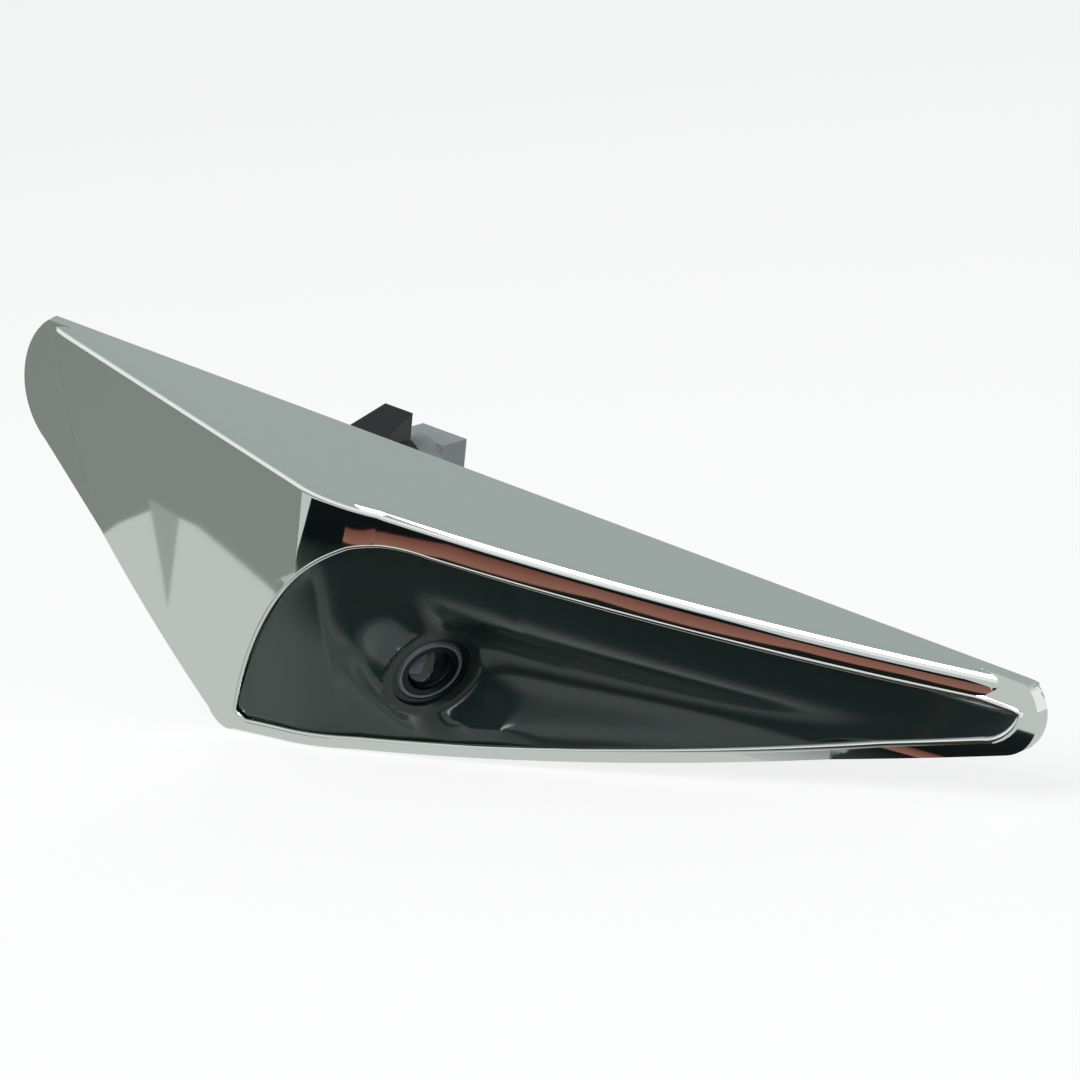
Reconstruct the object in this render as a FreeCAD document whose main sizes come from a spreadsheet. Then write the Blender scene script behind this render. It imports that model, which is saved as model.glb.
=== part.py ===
"""Chrome wedge backup camera for a vehicle's outer panel, as a parametric document.

Drawing frame: X runs along the top edge from the front tip to the tail, -Y points outward
from the panel and -Z points down. Every sub-part is then turned and shifted together, so
that the row frame has its origin in the mounting plane on the front peg's axis, +Z up.
The camera's own pieces are drawn along the lens axis, +Z out of the lens.
"""
import FreeCAD, Part
import math
import os
import re
import Sketcher

V = FreeCAD.Vector
doc = FreeCAD.newDocument("backup_camera")
sheet = doc.addObject("Spreadsheet::Sheet", "sheet")

SIZES = {
    # chrome housing: outline seen from outside, and the plan of its crest
    "tip_x": -2.0,
    "tip_bulge": 4.0,
    "tip_low_x": -1.4,
    "tip_low_drop": 16.4,
    "corner_left_x": 31.2,
    "corner_left_drop": 43.2,
    "corner_mid_x": 33.3,
    "corner_mid_drop": 45.0,
    "corner_right_x": 36.0,
    "corner_right_drop": 44.6,
    "lower_mid_x": 92.0,
    "lower_mid_drop": 28.6,
    "tail_low_x": 148.2,
    "tail_low_drop": 8.7,
    "tail_mid_x": 151.4,
    "tail_mid_drop": 3.6,
    "tail_top_x": 149.3,
    "plan_start_x": -12.0,
    "plan_end_x": 154.0,
    "plan_back": 30.0,
    "crest_start_out": -1.15,
    "crest_nose_x": 60.0,
    "crest_nose_out": 20.1,
    "crest_apex_x": 66.2,
    "crest_apex_out": 20.75,
    "crest_turn_x": 72.0,
    "crest_turn_out": 19.9,
    "crest_mid_x": 112.0,
    "crest_mid_out": 13.0,
    "crest_end_out": -0.4,
    "foot_drop": 45.0,
    "foot_start_out": -3.5,
    "foot_nose_x": 45.0,
    "foot_nose_out": 3.46,
    "foot_apex_x": 51.0,
    "foot_apex_out": 3.95,
    "foot_turn_x": 57.0,
    "foot_turn_out": 3.1,
    "foot_mid_x": 112.0,
    "foot_mid_out": -6.2,
    "foot_end_out": -19.3,
    "crest_radius": 1.2,
    "rim_height": 2.0,
    "chrome_wall": 2.0,
    # bezel opening in the housing
    "open_low_x": 37.0,
    "open_low_drop": 41.4,
    "open_nose_x": 49.2,
    "open_nose_drop": 21.0,
    "open_top_x": 66.0,
    "open_top_drop": 7.0,
    "open_bend_x": 71.5,
    "open_bend_drop": 5.1,
    "open_band_x": 78.0,
    "open_band_drop": 4.6,
    "open_tail_x": 149.0,
    "open_tail_drop": 3.6,
    "open_heel_x": 144.8,
    "open_heel_drop": 7.8,
    "open_lower_x": 91.5,
    "open_lower_drop": 26.9,
    "open_corner_x": 39.0,
    "open_corner_drop": 42.0,
    "bezel_gap": 0.15,
    "pocket_start": 124.0,
    "pocket_floor": 0.6,
    "bezel_reveal": 0.5,
    "bezel_wall": 2.0,
    "bezel_skirt": 4.0,
    # scoop in front of the lens
    "scoop_end_x": 128.0,
    "scoop_end_out": 4.5,
    "scoop_end_drop": 13.0,
    "scoop_lift": 1.0,
    "scoop_radius": 7.0,
    "scoop_end_radius": 1.0,
    "scoop_floor": 1.6,
    # camera pose and pieces, measured back from the boss face
    "lens_x": 73.3,
    "lens_out": 9.2,
    "lens_drop": 22.5,
    "lens_turn": 23.1,
    "lens_dip": 16.2,
    "boss_radius": 7.45,
    "boss_back_radius": 8.5,
    "ring_radius": 5.1,
    "ring_setback": 0.4,
    "ring_depth": 1.2,
    "barrel_radius": 4.3,
    "barrel_bore": 2.6,
    "barrel_setback": 0.25,
    "barrel_length": 8.6,
    "barrel_chamfer": 0.3,
    "barrel_lip": 0.5,
    "barrel_lip_bore": 1.9,
    "seat_radius": 3.2,
    "seat_depth": 2.2,
    "retainer_radius": 3.7,
    "retainer_bore": 2.9,
    "retainer_depth": 0.5,
    "fit": 0.05,
    "lens_rise": 0.5,
    "front_sag": 0.9,
    "back_hollow": 0.5,
    "inner_sag": 0.35,
    "front_spacer": 0.9,
    "middle_lens_depth": 1.5,
    "rear_spacer": 0.9,
    "housing_radius": 6.3,
    "housing_front": 2.2,
    "housing_joint": 11.2,
    "housing_gap": 0.1,
    "holder_stop": 9.2,
    "holder_stop_depth": 0.3,
    "holder_stop_bore": 3.4,
    "holder_wall": 1.4,
    "filter_radius": 4.0,
    "filter_depth": 0.4,
    "seal_depth": 0.5,
    "seal_width": 0.7,
    "can_wall": 0.6,
    "can_end": 1.0,
    "can_length": 11.5,
    "board_gap": 0.2,
    "board_depth": 1.0,
    "board_front": 13.2,
    "board_step": 3.4,
    "chip_width": 5.0,
    "chip_depth": 0.8,
    "cover_glass_depth": 0.3,
    "processor_width": 4.0,
    "processor_depth": 1.0,
    "spacer_ring_wall": 0.7,
    "header_width": 4.0,
    "header_breadth": 1.2,
    "header_inset": 1.2,
    "plug_width": 3.6,
    "socket_height": 2.2,
    "ear_radius": 2.3,
    "ear_depth": 1.6,
    "screw_radius": 0.8,
    "screw_clearance": 0.15,
    "screw_bite": 4.0,
    "head_radius": 1.6,
    "head_depth": 1.1,
    # base plate, neck and cover
    "base_thickness": 2.0,
    "base_gap": 0.2,
    "neck_left": 33.0,
    "neck_right": 74.0,
    "neck_top": 5.8,
    "neck_low": 29.0,
    "neck_corner": 6.0,
    "neck_wall": 2.0,
    "neck_length": 10.0,
    "neck_seal": 0.8,
    "cover_thickness": 2.0,
    "cover_boss_radius": 2.3,
    "cover_boss_inset": 4.2,
    "cover_boss_length": 7.0,
    "module_relief": 0.4,
    "flush_radius": 1.9,
    "flush_depth": 1.1,
    "base_screw_length": 3.9,
    "housing_screw_one_x": 18.0,
    "housing_screw_one_drop": 8.0,
    "housing_screw_two_x": 30.0,
    "housing_screw_two_drop": 23.0,
    "bezel_screw_one_x": 47.0,
    "bezel_screw_one_drop": 35.0,
    "bezel_screw_two_x": 104.0,
    "bezel_screw_two_drop": 9.5,
    "boss_wall": 1.3,
    "peg_radius": 2.0,
    "peg_length": 8.0,
    "peg_front_x": 19.0,
    "peg_front_drop": 15.5,
    "peg_tail_x": 118.0,
    "peg_tail_drop": 9.0,
    "gasket_thickness": 1.0,
    "gasket_inset": 0.8,
    "gasket_peg_gap": 1.0,
    "gasket_neck_gap": 1.0,
    "vent_x": 64.0,
    "vent_drop": 20.0,
    "vent_radius": 2.5,
    "vent_depth": 0.8,
    # lead, connector and lock
    "lead_radius": 1.0,
    "lead_bend_depth": 30.5,
    "lead_rise": 6.4,
    "lead_end": 13.9,
    "connector_x": 40.4,
    "connector_drop": 13.0,
    "connector_radius": 4.4,
    "connector_inner": 9.8,
    "connector_shoulder": 24.6,
    "connector_mouth": 29.2,
    "mouth_width": 7.6,
    "socket_radius": 3.1,
    "socket_bottom": 19.0,
    "seal_socket_radius": 3.2,
    "seal_socket_bottom": 14.0,
    "collar_radius": 4.9,
    "terminal_radius": 0.4,
    "terminal_pitch": 2.2,
    "terminal_tip": 25.0,
    "lock_gap": 0.3,
    "lock_wall": 1.1,
    "lock_width": 6.5,
    "lock_window": 2.6,
    "tab_foot": 1.3,
    "tab_rise": 3.6,
    "tab_foot_half": 3.2,
    "tab_tip_half": 2.4,
    # retaining spring on the neck's right wall
    "pin_radius": 0.6,
    "pin_fit": 0.05,
    "eye_radius": 1.3,
    "spring_length": 5.4,
    "spring_thickness": 0.6,
    "spring_width": 7.0,
    "spring_drop": 17.0,
    "spring_lean": 2.2,
    "ear_width": 1.4,
    "ear_gap": 0.3,
    "pin_back": 8.6,
    "pin_stand": 1.9,
    # pose of the drawing frame in the row frame
    "tilt": 15.0,
}
for row, (alias, value) in enumerate(SIZES.items(), start=1):
    sheet.set("A%d" % row, alias)
    sheet.set("B%d" % row, repr(value))
    sheet.setAlias("B%d" % row, alias)
doc.recompute()

WORD = re.compile(r"[a-z_]+[a-z0-9_]*")


def size(text):
    """Value of a sum of sheet names."""
    total = WORD.sub(lambda found: repr(SIZES[found.group()]), text)
    return FreeCAD.Units.Quantity(total).Value


def bind(thing, prop, text):
    """Tie a property to names in the sheet."""
    tied = WORD.sub(lambda found: "sheet." + found.group(), text)
    thing.setExpression(prop, tied)


def place(thing, x="0", y="0", z="0", turn=None):
    """Set a turn and tie the position to the sheet."""
    thing.Placement = FreeCAD.Placement(V(0, 0, 0), turn or FreeCAD.Rotation())
    for axis, text in (("x", x), ("y", y), ("z", z)):
        bind(thing, "Placement.Base." + axis, text)
    return thing


ALONG_X = FreeCAD.Rotation(V(0, 1, 0), 90)
ALONG_Y = FreeCAD.Rotation(V(1, 0, 0), -90)
FACING_OUT = FreeCAD.Rotation(V(1, 0, 0), 90)


def cylinder(name, radius, length, x="0", y="0", z="0", turn=None):
    thing = doc.addObject("Part::Cylinder", name)
    bind(thing, "Radius", radius)
    bind(thing, "Height", length)
    return place(thing, x, y, z, turn)


def cone(name, radius, far_radius, length, x="0", y="0", z="0", turn=None):
    thing = doc.addObject("Part::Cone", name)
    bind(thing, "Radius1", radius)
    bind(thing, "Radius2", far_radius)
    bind(thing, "Height", length)
    return place(thing, x, y, z, turn)


def box(name, length, width, height, x="0", y="0", z="0"):
    thing = doc.addObject("Part::Box", name)
    bind(thing, "Length", length)
    bind(thing, "Width", width)
    bind(thing, "Height", height)
    return place(thing, x, y, z)


def sphere(name, radius, z):
    thing = doc.addObject("Part::Sphere", name)
    bind(thing, "Radius", radius)
    return place(thing, "0", "0", z)


def cut(name, base, *tools):
    thing = base
    for count, tool in enumerate(tools):
        step = doc.addObject("Part::Cut", name if count == len(tools) - 1 else name + "_cut")
        step.Base = thing
        step.Tool = tool
        thing = step
    return thing


def fuse(name, *pieces):
    thing = doc.addObject("Part::MultiFuse", name)
    thing.Shapes = list(pieces)
    return thing


def held(name, piece):
    """Compound round one primitive, so that the primitive keeps its own place."""
    thing = doc.addObject("Part::Compound", name)
    thing.Links = [piece]
    return thing


def common(name, base, tool):
    thing = doc.addObject("Part::Common", name)
    thing.Base = base
    thing.Tool = tool
    return thing


def sketch_path(sketch, points):
    """Closed run of lines and arcs. Each point is (x, y) in sheet words, a third entry marks
    the middle of an arc from the point before it to the point after it."""
    corners = [entry for entry in points if len(entry) == 2]
    count = len(corners)
    where = [V(size(x), size(y), 0) for x, y in corners]
    middles = {}
    seen = -1
    for entry in points:
        if len(entry) == 2:
            seen += 1
        else:
            middles[seen] = entry
    clockwise = set()
    for index in range(count):
        start, end = where[index], where[(index + 1) % count]
        if index not in middles:
            sketch.addGeometry(Part.LineSegment(start, end), False)
            continue
        x, y, _ = middles[index]
        middle = V(size(x), size(y), 0)
        if (middle - start).cross(end - middle).z < 0:
            clockwise.add(index)
            start, end = end, start
        sketch.addGeometry(Part.Arc(start, middle, end), False)

    def ends(index):
        """Vertex numbers of the start and end: a clockwise arc is held the other way round."""
        return (2, 1) if index in clockwise else (1, 2)

    for index in range(count):
        following = (index + 1) % count
        sketch.addConstraint(
            Sketcher.Constraint("Coincident", index, ends(index)[1], following, ends(following)[0])
        )
    for index, (x, y) in enumerate(corners):
        tie_point(sketch, index, ends(index)[0], x, y)
    for index, (x, y, _) in middles.items():
        marker = sketch.addGeometry(Part.Point(V(size(x), size(y), 0)), True)
        tie_point(sketch, marker, 1, x, y)
        sketch.addConstraint(Sketcher.Constraint("PointOnObject", marker, 1, index))
    return sketch


def tie_point(sketch, edge, vertex, x, y):
    for kind, text, axis in (("DistanceX", x, -2), ("DistanceY", y, -1)):
        if text == "0":
            sketch.addConstraint(Sketcher.Constraint("PointOnObject", edge, vertex, axis))
            continue
        number = sketch.addConstraint(Sketcher.Constraint(kind, -1, 1, edge, vertex, size(text)))
        bind(sketch, "Constraints[%d]" % number, text)


def free_sketch(name, points, turn=None, z="0"):
    sketch = doc.addObject("Sketcher::SketchObject", name)
    place(sketch, "0", "0", z, turn)
    return sketch_path(sketch, points)


def offset(name, source, inset):
    thing = doc.addObject("Part::Offset2D", name)
    thing.Source = source
    thing.Join = "Intersection"
    bind(thing, "Value", "-(" + inset + ")")
    return thing


def extrude(name, source, outward, backward="0"):
    """Solid from a profile in the mounting plane, outward is -Y."""
    thing = doc.addObject("Part::Extrusion", name)
    thing.Base = source
    thing.DirMode = "Custom"
    thing.Dir = V(0, -1, 0)
    thing.Solid = True
    bind(thing, "LengthFwd", outward)
    bind(thing, "LengthRev", backward)
    return thing


def body_sketch(body, plane, points):
    flat = next(item for item in body.Origin.OriginFeatures if item.Role == plane)
    sketch = body.newObject("Sketcher::SketchObject", body.Name + "_sketch")
    sketch.AttachmentSupport = [(flat, "")]
    sketch.MapMode = "FlatFace"
    return sketch_path(sketch, points)


def turned(name, points):
    """Body of revolution about the lens axis from a half section of (radius, height)."""
    body = doc.addObject("PartDesign::Body", name)
    sketch = body_sketch(body, "XZ_Plane", points)
    spin = body.newObject("PartDesign::Revolution", name + "_spin")
    spin.Profile = sketch
    spin.ReferenceAxis = (sketch, ["V_Axis"])
    spin.Angle = 360
    return body


def ring(name, outer, inner, front, back):
    """Plain ring between two heights on the lens axis."""
    corners = [(inner, back), (outer, back), (outer, front), (inner, front)]
    return turned(name, corners)


# ---------------------------------------------------------------- frames
def drawing_placement():
    """Drawing frame to row frame: tilt about Y, origin where the front peg leaves the gasket."""
    turn = FreeCAD.Rotation(V(0, 1, 0), SIZES["tilt"])
    middle = V(SIZES["peg_front_x"], SIZES["gasket_thickness"], -SIZES["peg_front_drop"])
    return FreeCAD.Placement(turn.multVec(middle) * -1, turn)


def lens_placement():
    """Lens frame in the drawing frame: +Z out of the lens, X in the mounting plane."""
    turn = math.radians(SIZES["lens_turn"])
    dip = math.radians(SIZES["lens_dip"])
    axis = V(
        math.cos(dip) * math.cos(turn),
        -math.cos(dip) * math.sin(turn),
        -math.sin(dip),
    )
    side = axis.cross(V(0, 1, 0)).normalize()
    up = axis.cross(side)
    spin = FreeCAD.Rotation(side, up, axis, "ZXY")
    return FreeCAD.Placement(V(SIZES["lens_x"], -SIZES["lens_out"], -SIZES["lens_drop"]), spin)


ROW = drawing_placement()
LENS = lens_placement()
nodes = []


def keep(thing, label, along_lens=False):
    """Name a finished sub-part and set it in the row frame."""
    thing.Label = label
    thing.Placement = ROW * LENS if along_lens else ROW
    nodes.append(thing)
    return thing


# ---------------------------------------------------------------- shared outlines
outline = free_sketch(
    "outline",
    [
        ("tip_x", "0"),
        ("tail_top_x", "0"),
        ("tail_mid_x", "-tail_mid_drop", "arc"),
        ("tail_low_x", "-tail_low_drop"),
        ("lower_mid_x", "-lower_mid_drop", "arc"),
        ("corner_right_x", "-corner_right_drop"),
        ("corner_mid_x", "-corner_mid_drop", "arc"),
        ("corner_left_x", "-corner_left_drop"),
        ("tip_low_x", "-tip_low_drop"),
        ("tip_x - tip_bulge", "-tip_low_drop / 2", "arc"),
    ],
    FACING_OUT,
)
crest_plan = free_sketch(
    "crest_plan",
    [
        ("plan_start_x", "plan_back"),
        ("plan_start_x", "-crest_start_out"),
        ("crest_nose_x", "-crest_nose_out"),
        ("crest_apex_x", "-crest_apex_out", "arc"),
        ("crest_turn_x", "-crest_turn_out"),
        ("crest_mid_x", "-crest_mid_out", "arc"),
        ("plan_end_x", "-crest_end_out"),
        ("plan_end_x", "plan_back"),
    ],
)
foot_plan = free_sketch(
    "foot_plan",
    [
        ("plan_start_x", "plan_back"),
        ("plan_start_x", "-foot_start_out"),
        ("foot_nose_x", "-foot_nose_out"),
        ("foot_apex_x", "-foot_apex_out", "arc"),
        ("foot_turn_x", "-foot_turn_out"),
        ("foot_mid_x", "-foot_mid_out", "arc"),
        ("plan_end_x", "-foot_end_out"),
        ("plan_end_x", "plan_back"),
    ],
    None,
    "-foot_drop",
)
opening = free_sketch(
    "opening",
    [
        ("open_low_x", "-open_low_drop"),
        ("open_nose_x", "-open_nose_drop", "arc"),
        ("open_top_x", "-open_top_drop"),
        ("open_bend_x", "-open_bend_drop", "arc"),
        ("open_band_x", "-open_band_drop"),
        ("open_tail_x", "-open_tail_drop"),
        ("open_heel_x", "-open_heel_drop"),
        ("open_lower_x", "-open_lower_drop", "arc"),
        ("open_corner_x", "-open_corner_drop"),
    ],
    FACING_OUT,
)
doc.recompute()


def envelope(name, inset):
    """The wedge, drawn in by an inset all round: the outline's prism inside the lofted front."""
    flat, high, low = outline, crest_plan, foot_plan
    if inset != "0":
        flat = offset(name + "_outline", outline, inset)
        high = offset(name + "_crest", crest_plan, inset)
        low = offset(name + "_foot", foot_plan, inset)
    prism = extrude(name + "_prism", flat, "plan_back", "0")
    loft = doc.addObject("Part::Loft", name + "_loft")
    loft.Sections = [high, low]
    loft.Solid = True
    loft.Ruled = True
    return common(name, prism, loft)


wedge = envelope("wedge", "0")
hollow = envelope("hollow", "chrome_wall")
base_space = envelope("base_space", "chrome_wall + base_gap")
skin = envelope("skin", "bezel_reveal")
skin_inner = envelope("skin_inner", "bezel_reveal + bezel_wall")
skin_deep = envelope("skin_deep", "bezel_reveal + bezel_skirt")


def opening_prism(name, inset):
    """The bezel opening as a prism that starts at the rim's height."""
    source = offset(name + "_edge", opening, inset) if inset != "0" else opening
    return extrude(name, source, "plan_back", "-rim_height")


def post(name, radius, length, x, drop, start="-rim_height"):
    """Round post that rises outward from the base plate."""
    return cylinder(name, radius, length, x, start, "-" + drop, FACING_OUT)


def back_post(name, radius, length, x, drop, start="0"):
    """Round post or hole that runs to the back."""
    return cylinder(name, radius, length, x, start, "-" + drop, ALONG_Y)


HOUSING_SCREWS = [
    ("housing_screw_one_x", "housing_screw_one_drop"),
    ("housing_screw_two_x", "housing_screw_two_drop"),
]
BEZEL_SCREWS = [
    ("bezel_screw_one_x", "bezel_screw_one_drop"),
    ("bezel_screw_two_x", "bezel_screw_two_drop"),
]
PEGS = [("peg_front_x", "peg_front_drop"), ("peg_tail_x", "peg_tail_drop")]
PILOT = "base_screw_length - base_thickness + 0.3"


def screwed_posts(name, inside, screws):
    """Screw posts cut to the shape they stand inside, and their pilot holes."""
    posts = [post(name + "_post", "screw_radius + boss_wall", "plan_back", x, drop) for x, drop in screws]
    trimmed = common(name + "_posts", inside, fuse(name + "_post_group", *posts))
    pilots = [post(name + "_pilot", "screw_radius", PILOT, x, drop) for x, drop in screws]
    return trimmed, fuse(name + "_pilots", *pilots)


def flush_screw(name, x, drop):
    """Countersunk screw that comes from behind, head flush with the plate's back."""
    head = cone(name + "_head", "flush_radius", "screw_radius", "flush_depth", x, "0", "-" + drop, FACING_OUT)
    shank = post(name + "_shank", "screw_radius", "base_screw_length", x, drop, "0")
    return fuse(name, head, shank)


def tail_pocket(name, inset):
    """The opening's tail end, sunk into the rim where the front falls below the rim's face."""
    zone = box(
        name + "_zone", "plan_end_x - pocket_start - (" + inset + ")", "rim_height - pocket_floor",
        "open_low_drop",
        "pocket_start + " + inset, "-rim_height", "-open_low_drop",
    )
    source = offset(name + "_edge", opening, inset) if inset != "0" else opening
    return common(name, extrude(name + "_prism", source, "rim_height + 1"), zone)


# ---------------------------------------------------------------- chrome housing
rim = extrude("rim", outline, "rim_height")
housing_posts, housing_pilots = screwed_posts("housing", wedge, HOUSING_SCREWS)
shell_hollow = cut("shell_hollow", fuse("shell_solid", wedge, rim), hollow)
shell_open = cut("shell_open", shell_hollow, opening_prism("opening_cut", "0"))
shell = cut(
    "shell", fuse("shell_posts", shell_open, housing_posts), housing_pilots, tail_pocket("pocket", "0"),
)
doc.recompute()


def crest_edges(shape):
    """Numbers of the edges where the flat top meets the front, from tip to tail."""
    numbers = []
    for number, edge in enumerate(shape.Edges, start=1):
        level = edge.BoundBox.ZMin > -0.01 and edge.BoundBox.ZMax < 0.01
        reach = min(corner.Point.y for corner in edge.Vertexes)
        if level and reach < -SIZES["rim_height"] - 0.01:
            numbers.append(number)
    return numbers


rounded = doc.addObject("Part::Fillet", "chrome_rounded")
rounded.Base = shell
CREST_RADIUS = SIZES["crest_radius"]
rounded.Edges = [(number, CREST_RADIUS, CREST_RADIUS) for number in crest_edges(shell.Shape)]
keep(rounded, "chrome_housing")


# ---------------------------------------------------------------- bezel
def lens_cylinder(name, radius, front, back, x="0", y="0"):
    """Cylinder on the lens axis between two depths behind the boss face, in the drawing frame."""
    length = "(" + back + ") - (" + front + ")"
    return on_lens_frame(cylinder(name, radius, length, x, y, "-(" + back + ")"))


def on_lens_frame(thing):
    """Hold a tool drawn on the lens axis in a compound that carries the lens placement."""
    holder = held(thing.Name + "_on_axis", thing)
    holder.Placement = LENS
    return holder


EAR_OFFSET = "(housing_radius + ear_radius)"
EARS = [EAR_OFFSET, "-" + EAR_OFFSET]
bezel_prism = opening_prism("bezel_prism", "bezel_gap")
bezel_inner_prism = opening_prism("bezel_inner_prism", "bezel_gap + bezel_wall")
bezel_block = common("bezel_block", bezel_prism, skin)
boss_cone = cone(
    "boss_cone", "boss_back_radius", "boss_radius", "housing_joint - ear_depth", "0", "0",
    "-(housing_joint - ear_depth)",
)
boss = common("boss", bezel_prism, on_lens_frame(boss_cone))


def scoop_cone(name, growth):
    """Tapered trough from the lens towards the tail, along the front."""
    start = V(SIZES["lens_x"], -SIZES["lens_out"] - SIZES["scoop_lift"], -SIZES["lens_drop"])
    end = V(SIZES["scoop_end_x"], -SIZES["scoop_end_out"], -SIZES["scoop_end_drop"])
    along = end - start
    thing = doc.addObject("Part::Cone", name)
    bind(thing, "Radius1", "scoop_radius + " + growth)
    bind(thing, "Radius2", "scoop_end_radius + " + growth)
    thing.Height = along.Length
    thing.Placement = FreeCAD.Placement(start, FreeCAD.Rotation(V(0, 0, 1), along))
    return thing


bezel_solid = cut("bezel_scooped", fuse("bezel_with_boss", bezel_block, boss), scoop_cone("scoop", "0"))
ear_posts = [
    lens_cylinder("ear_post", "screw_radius + boss_wall", "-housing_radius", "housing_joint - ear_depth", x)
    for x in EARS
]
ear_group = common("ear_posts", bezel_block, fuse("ear_post_group", *ear_posts))
bezel_posts, bezel_pilots = screwed_posts("bezel", bezel_block, BEZEL_SCREWS)
bezel_hollow = fuse(
    "bezel_hollow",
    common("bezel_room", bezel_inner_prism, skin_inner),
    common("bezel_deep_room", opening_prism("bezel_whole", "0"), skin_deep),
)
bezel_room = cut("bezel_clear_room", bezel_hollow, scoop_cone("scoop_floor_tool", "scoop_floor"), boss)
bezel_shell = cut("bezel_shell", bezel_solid, bezel_room)
bezel_whole_shell = fuse(
    "bezel_posts_in", bezel_shell, ear_group, bezel_posts, tail_pocket("bezel_tail", "bezel_gap"),
)
ear_slot = box(
    "ear_slot", EAR_OFFSET + " * 2", "(ear_radius + housing_gap) * 2", "housing_joint",
    "-" + EAR_OFFSET, "-(ear_radius + housing_gap)", "-(housing_joint * 2 - ear_depth)",
)
bezel = cut(
    "bezel",
    bezel_whole_shell,
    bezel_pilots,
    scoop_cone("scoop_again", "0"),
    lens_cylinder("bezel_bore", "ring_radius", "-ring_radius", "housing_front"),
    lens_cylinder(
        "bezel_seat", "housing_radius + housing_gap", "housing_front", "housing_joint + can_length",
    ),
    lens_cylinder(
        "upper_ear_room", "ear_radius + housing_gap", "housing_joint - ear_depth",
        "housing_joint * 2", EARS[0],
    ),
    on_lens_frame(ear_slot),
    lens_cylinder(
        "lower_ear_room", "ear_radius + housing_gap", "housing_joint - ear_depth",
        "housing_joint * 2", EARS[1],
    ),
    fuse(
        "ear_pilots",
        *[
            lens_cylinder(
                "ear_pilot", "screw_radius", "housing_joint - ear_depth - screw_bite", "housing_joint", x,
            )
            for x in EARS
        ],
    ),
)
keep(bezel, "camera_bezel")
doc.recompute()


# ---------------------------------------------------------------- base plate with its neck
def rounded_window(name, growth):
    """The neck's rounded outline, grown by a margin."""
    left, right = "neck_left - (" + growth + ")", "neck_right + (" + growth + ")"
    top, low = "-neck_top + (" + growth + ")", "-neck_low - (" + growth + ")"
    corner = "(neck_corner + (" + growth + "))"
    nip = corner + " * 0.2929"
    return free_sketch(
        name,
        [
            (left + " + " + corner, top),
            (right + " - " + corner, top),
            (right + " - " + nip, top + " - " + nip, "arc"),
            (right, top + " - " + corner),
            (right, low + " + " + corner),
            (right + " - " + nip, low + " + " + nip, "arc"),
            (right + " - " + corner, low),
            (left + " + " + corner, low),
            (left + " + " + nip, low + " + " + nip, "arc"),
            (left, low + " + " + corner),
            (left, top + " - " + corner),
            (left + " + " + nip, top + " - " + nip, "arc"),
        ],
        FACING_OUT,
    )


COVER_BOSSES = [
    ("neck_right - cover_boss_inset", "neck_top + cover_boss_inset"),
    ("neck_right - cover_boss_inset", "neck_low - cover_boss_inset"),
    ("neck_left + cover_boss_inset", "neck_low - cover_boss_inset"),
]
COVER_FRONT = "neck_length + neck_seal"
COVER_BACK = "neck_length + neck_seal + cover_thickness"
HOLE = "screw_radius + screw_clearance"


def flush_hole(name, x, drop, back, thickness):
    """Countersunk clearance hole through a plate, its wide end at the back."""
    wide = cone(
        name + "_wide", "flush_radius + screw_clearance", HOLE, "flush_depth", x, back,
        "-(" + drop + ")", FACING_OUT,
    )
    through = cylinder(
        name + "_through", HOLE, thickness + " + 2", x, back + " + 1", "-(" + drop + ")", FACING_OUT,
    )
    return fuse(name, wide, through)


neck_outer = rounded_window("neck_outer", "0")
neck_inner = rounded_window("neck_inner", "-neck_wall")
base_flat = common("base_flat", extrude("base_slab", outline, "base_thickness"), base_space)
neck_block = extrude("neck_block", neck_outer, "base_thickness", "neck_length")
neck_room = extrude("neck_room", neck_inner, "base_thickness + 1", "neck_length + 1")
cover_bosses = [
    back_post(
        "cover_boss", "cover_boss_radius", "cover_boss_length", x, "(" + drop + ")",
        "neck_length - cover_boss_length",
    )
    for x, drop in COVER_BOSSES
]
cover_pilots = [
    back_post(
        "cover_pilot", "screw_radius", "screw_bite + 1", x, "(" + drop + ")",
        "neck_length - screw_bite - 0.3",
    )
    for x, drop in COVER_BOSSES
]
pegs = [back_post("peg", "peg_radius", "peg_length", x, drop, "-0.5") for x, drop in PEGS]
SPRING_HALF = "(spring_width / 2 + ear_gap)"


def spring_ear(name, top):
    """One of the two ears that hold the retaining spring's pin."""
    block = box(
        name + "_block", "pin_stand + neck_wall / 2", "eye_radius * 2", "ear_width",
        "neck_right - neck_wall / 2", "pin_back - eye_radius", top,
    )
    nose = cylinder(name + "_nose", "eye_radius", "ear_width", "neck_right + pin_stand", "pin_back", top)
    return fuse(name, block, nose)


ears = [
    spring_ear("upper_ear", "-spring_drop + " + SPRING_HALF),
    spring_ear("lower_ear", "-spring_drop - " + SPRING_HALF + " - ear_width"),
]
PIN_LENGTH = "spring_width + ear_gap * 2 + ear_width * 2"
PIN_LOW = "-spring_drop - " + SPRING_HALF + " - ear_width"
pin_hole = cylinder("pin_hole", "pin_radius", PIN_LENGTH, "neck_right + pin_stand", "pin_back", PIN_LOW)
base_holes = [
    flush_hole("base_hole", x, drop, "0", "base_thickness") for x, drop in HOUSING_SCREWS + BEZEL_SCREWS
]
base_walls = cut("base_walls", fuse("base_block", base_flat, neck_block), neck_room)
base = cut(
    "base",
    fuse("base_whole", base_walls, *cover_bosses, *pegs, *ears),
    fuse("base_openings", pin_hole, *cover_pilots, *base_holes),
    lens_cylinder(
        "camera_relief", "housing_radius + module_relief", "housing_front", "housing_joint + can_length",
    ),
    tail_pocket("base_pocket", "0"),
)
keep(base, "base_plate")

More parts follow.
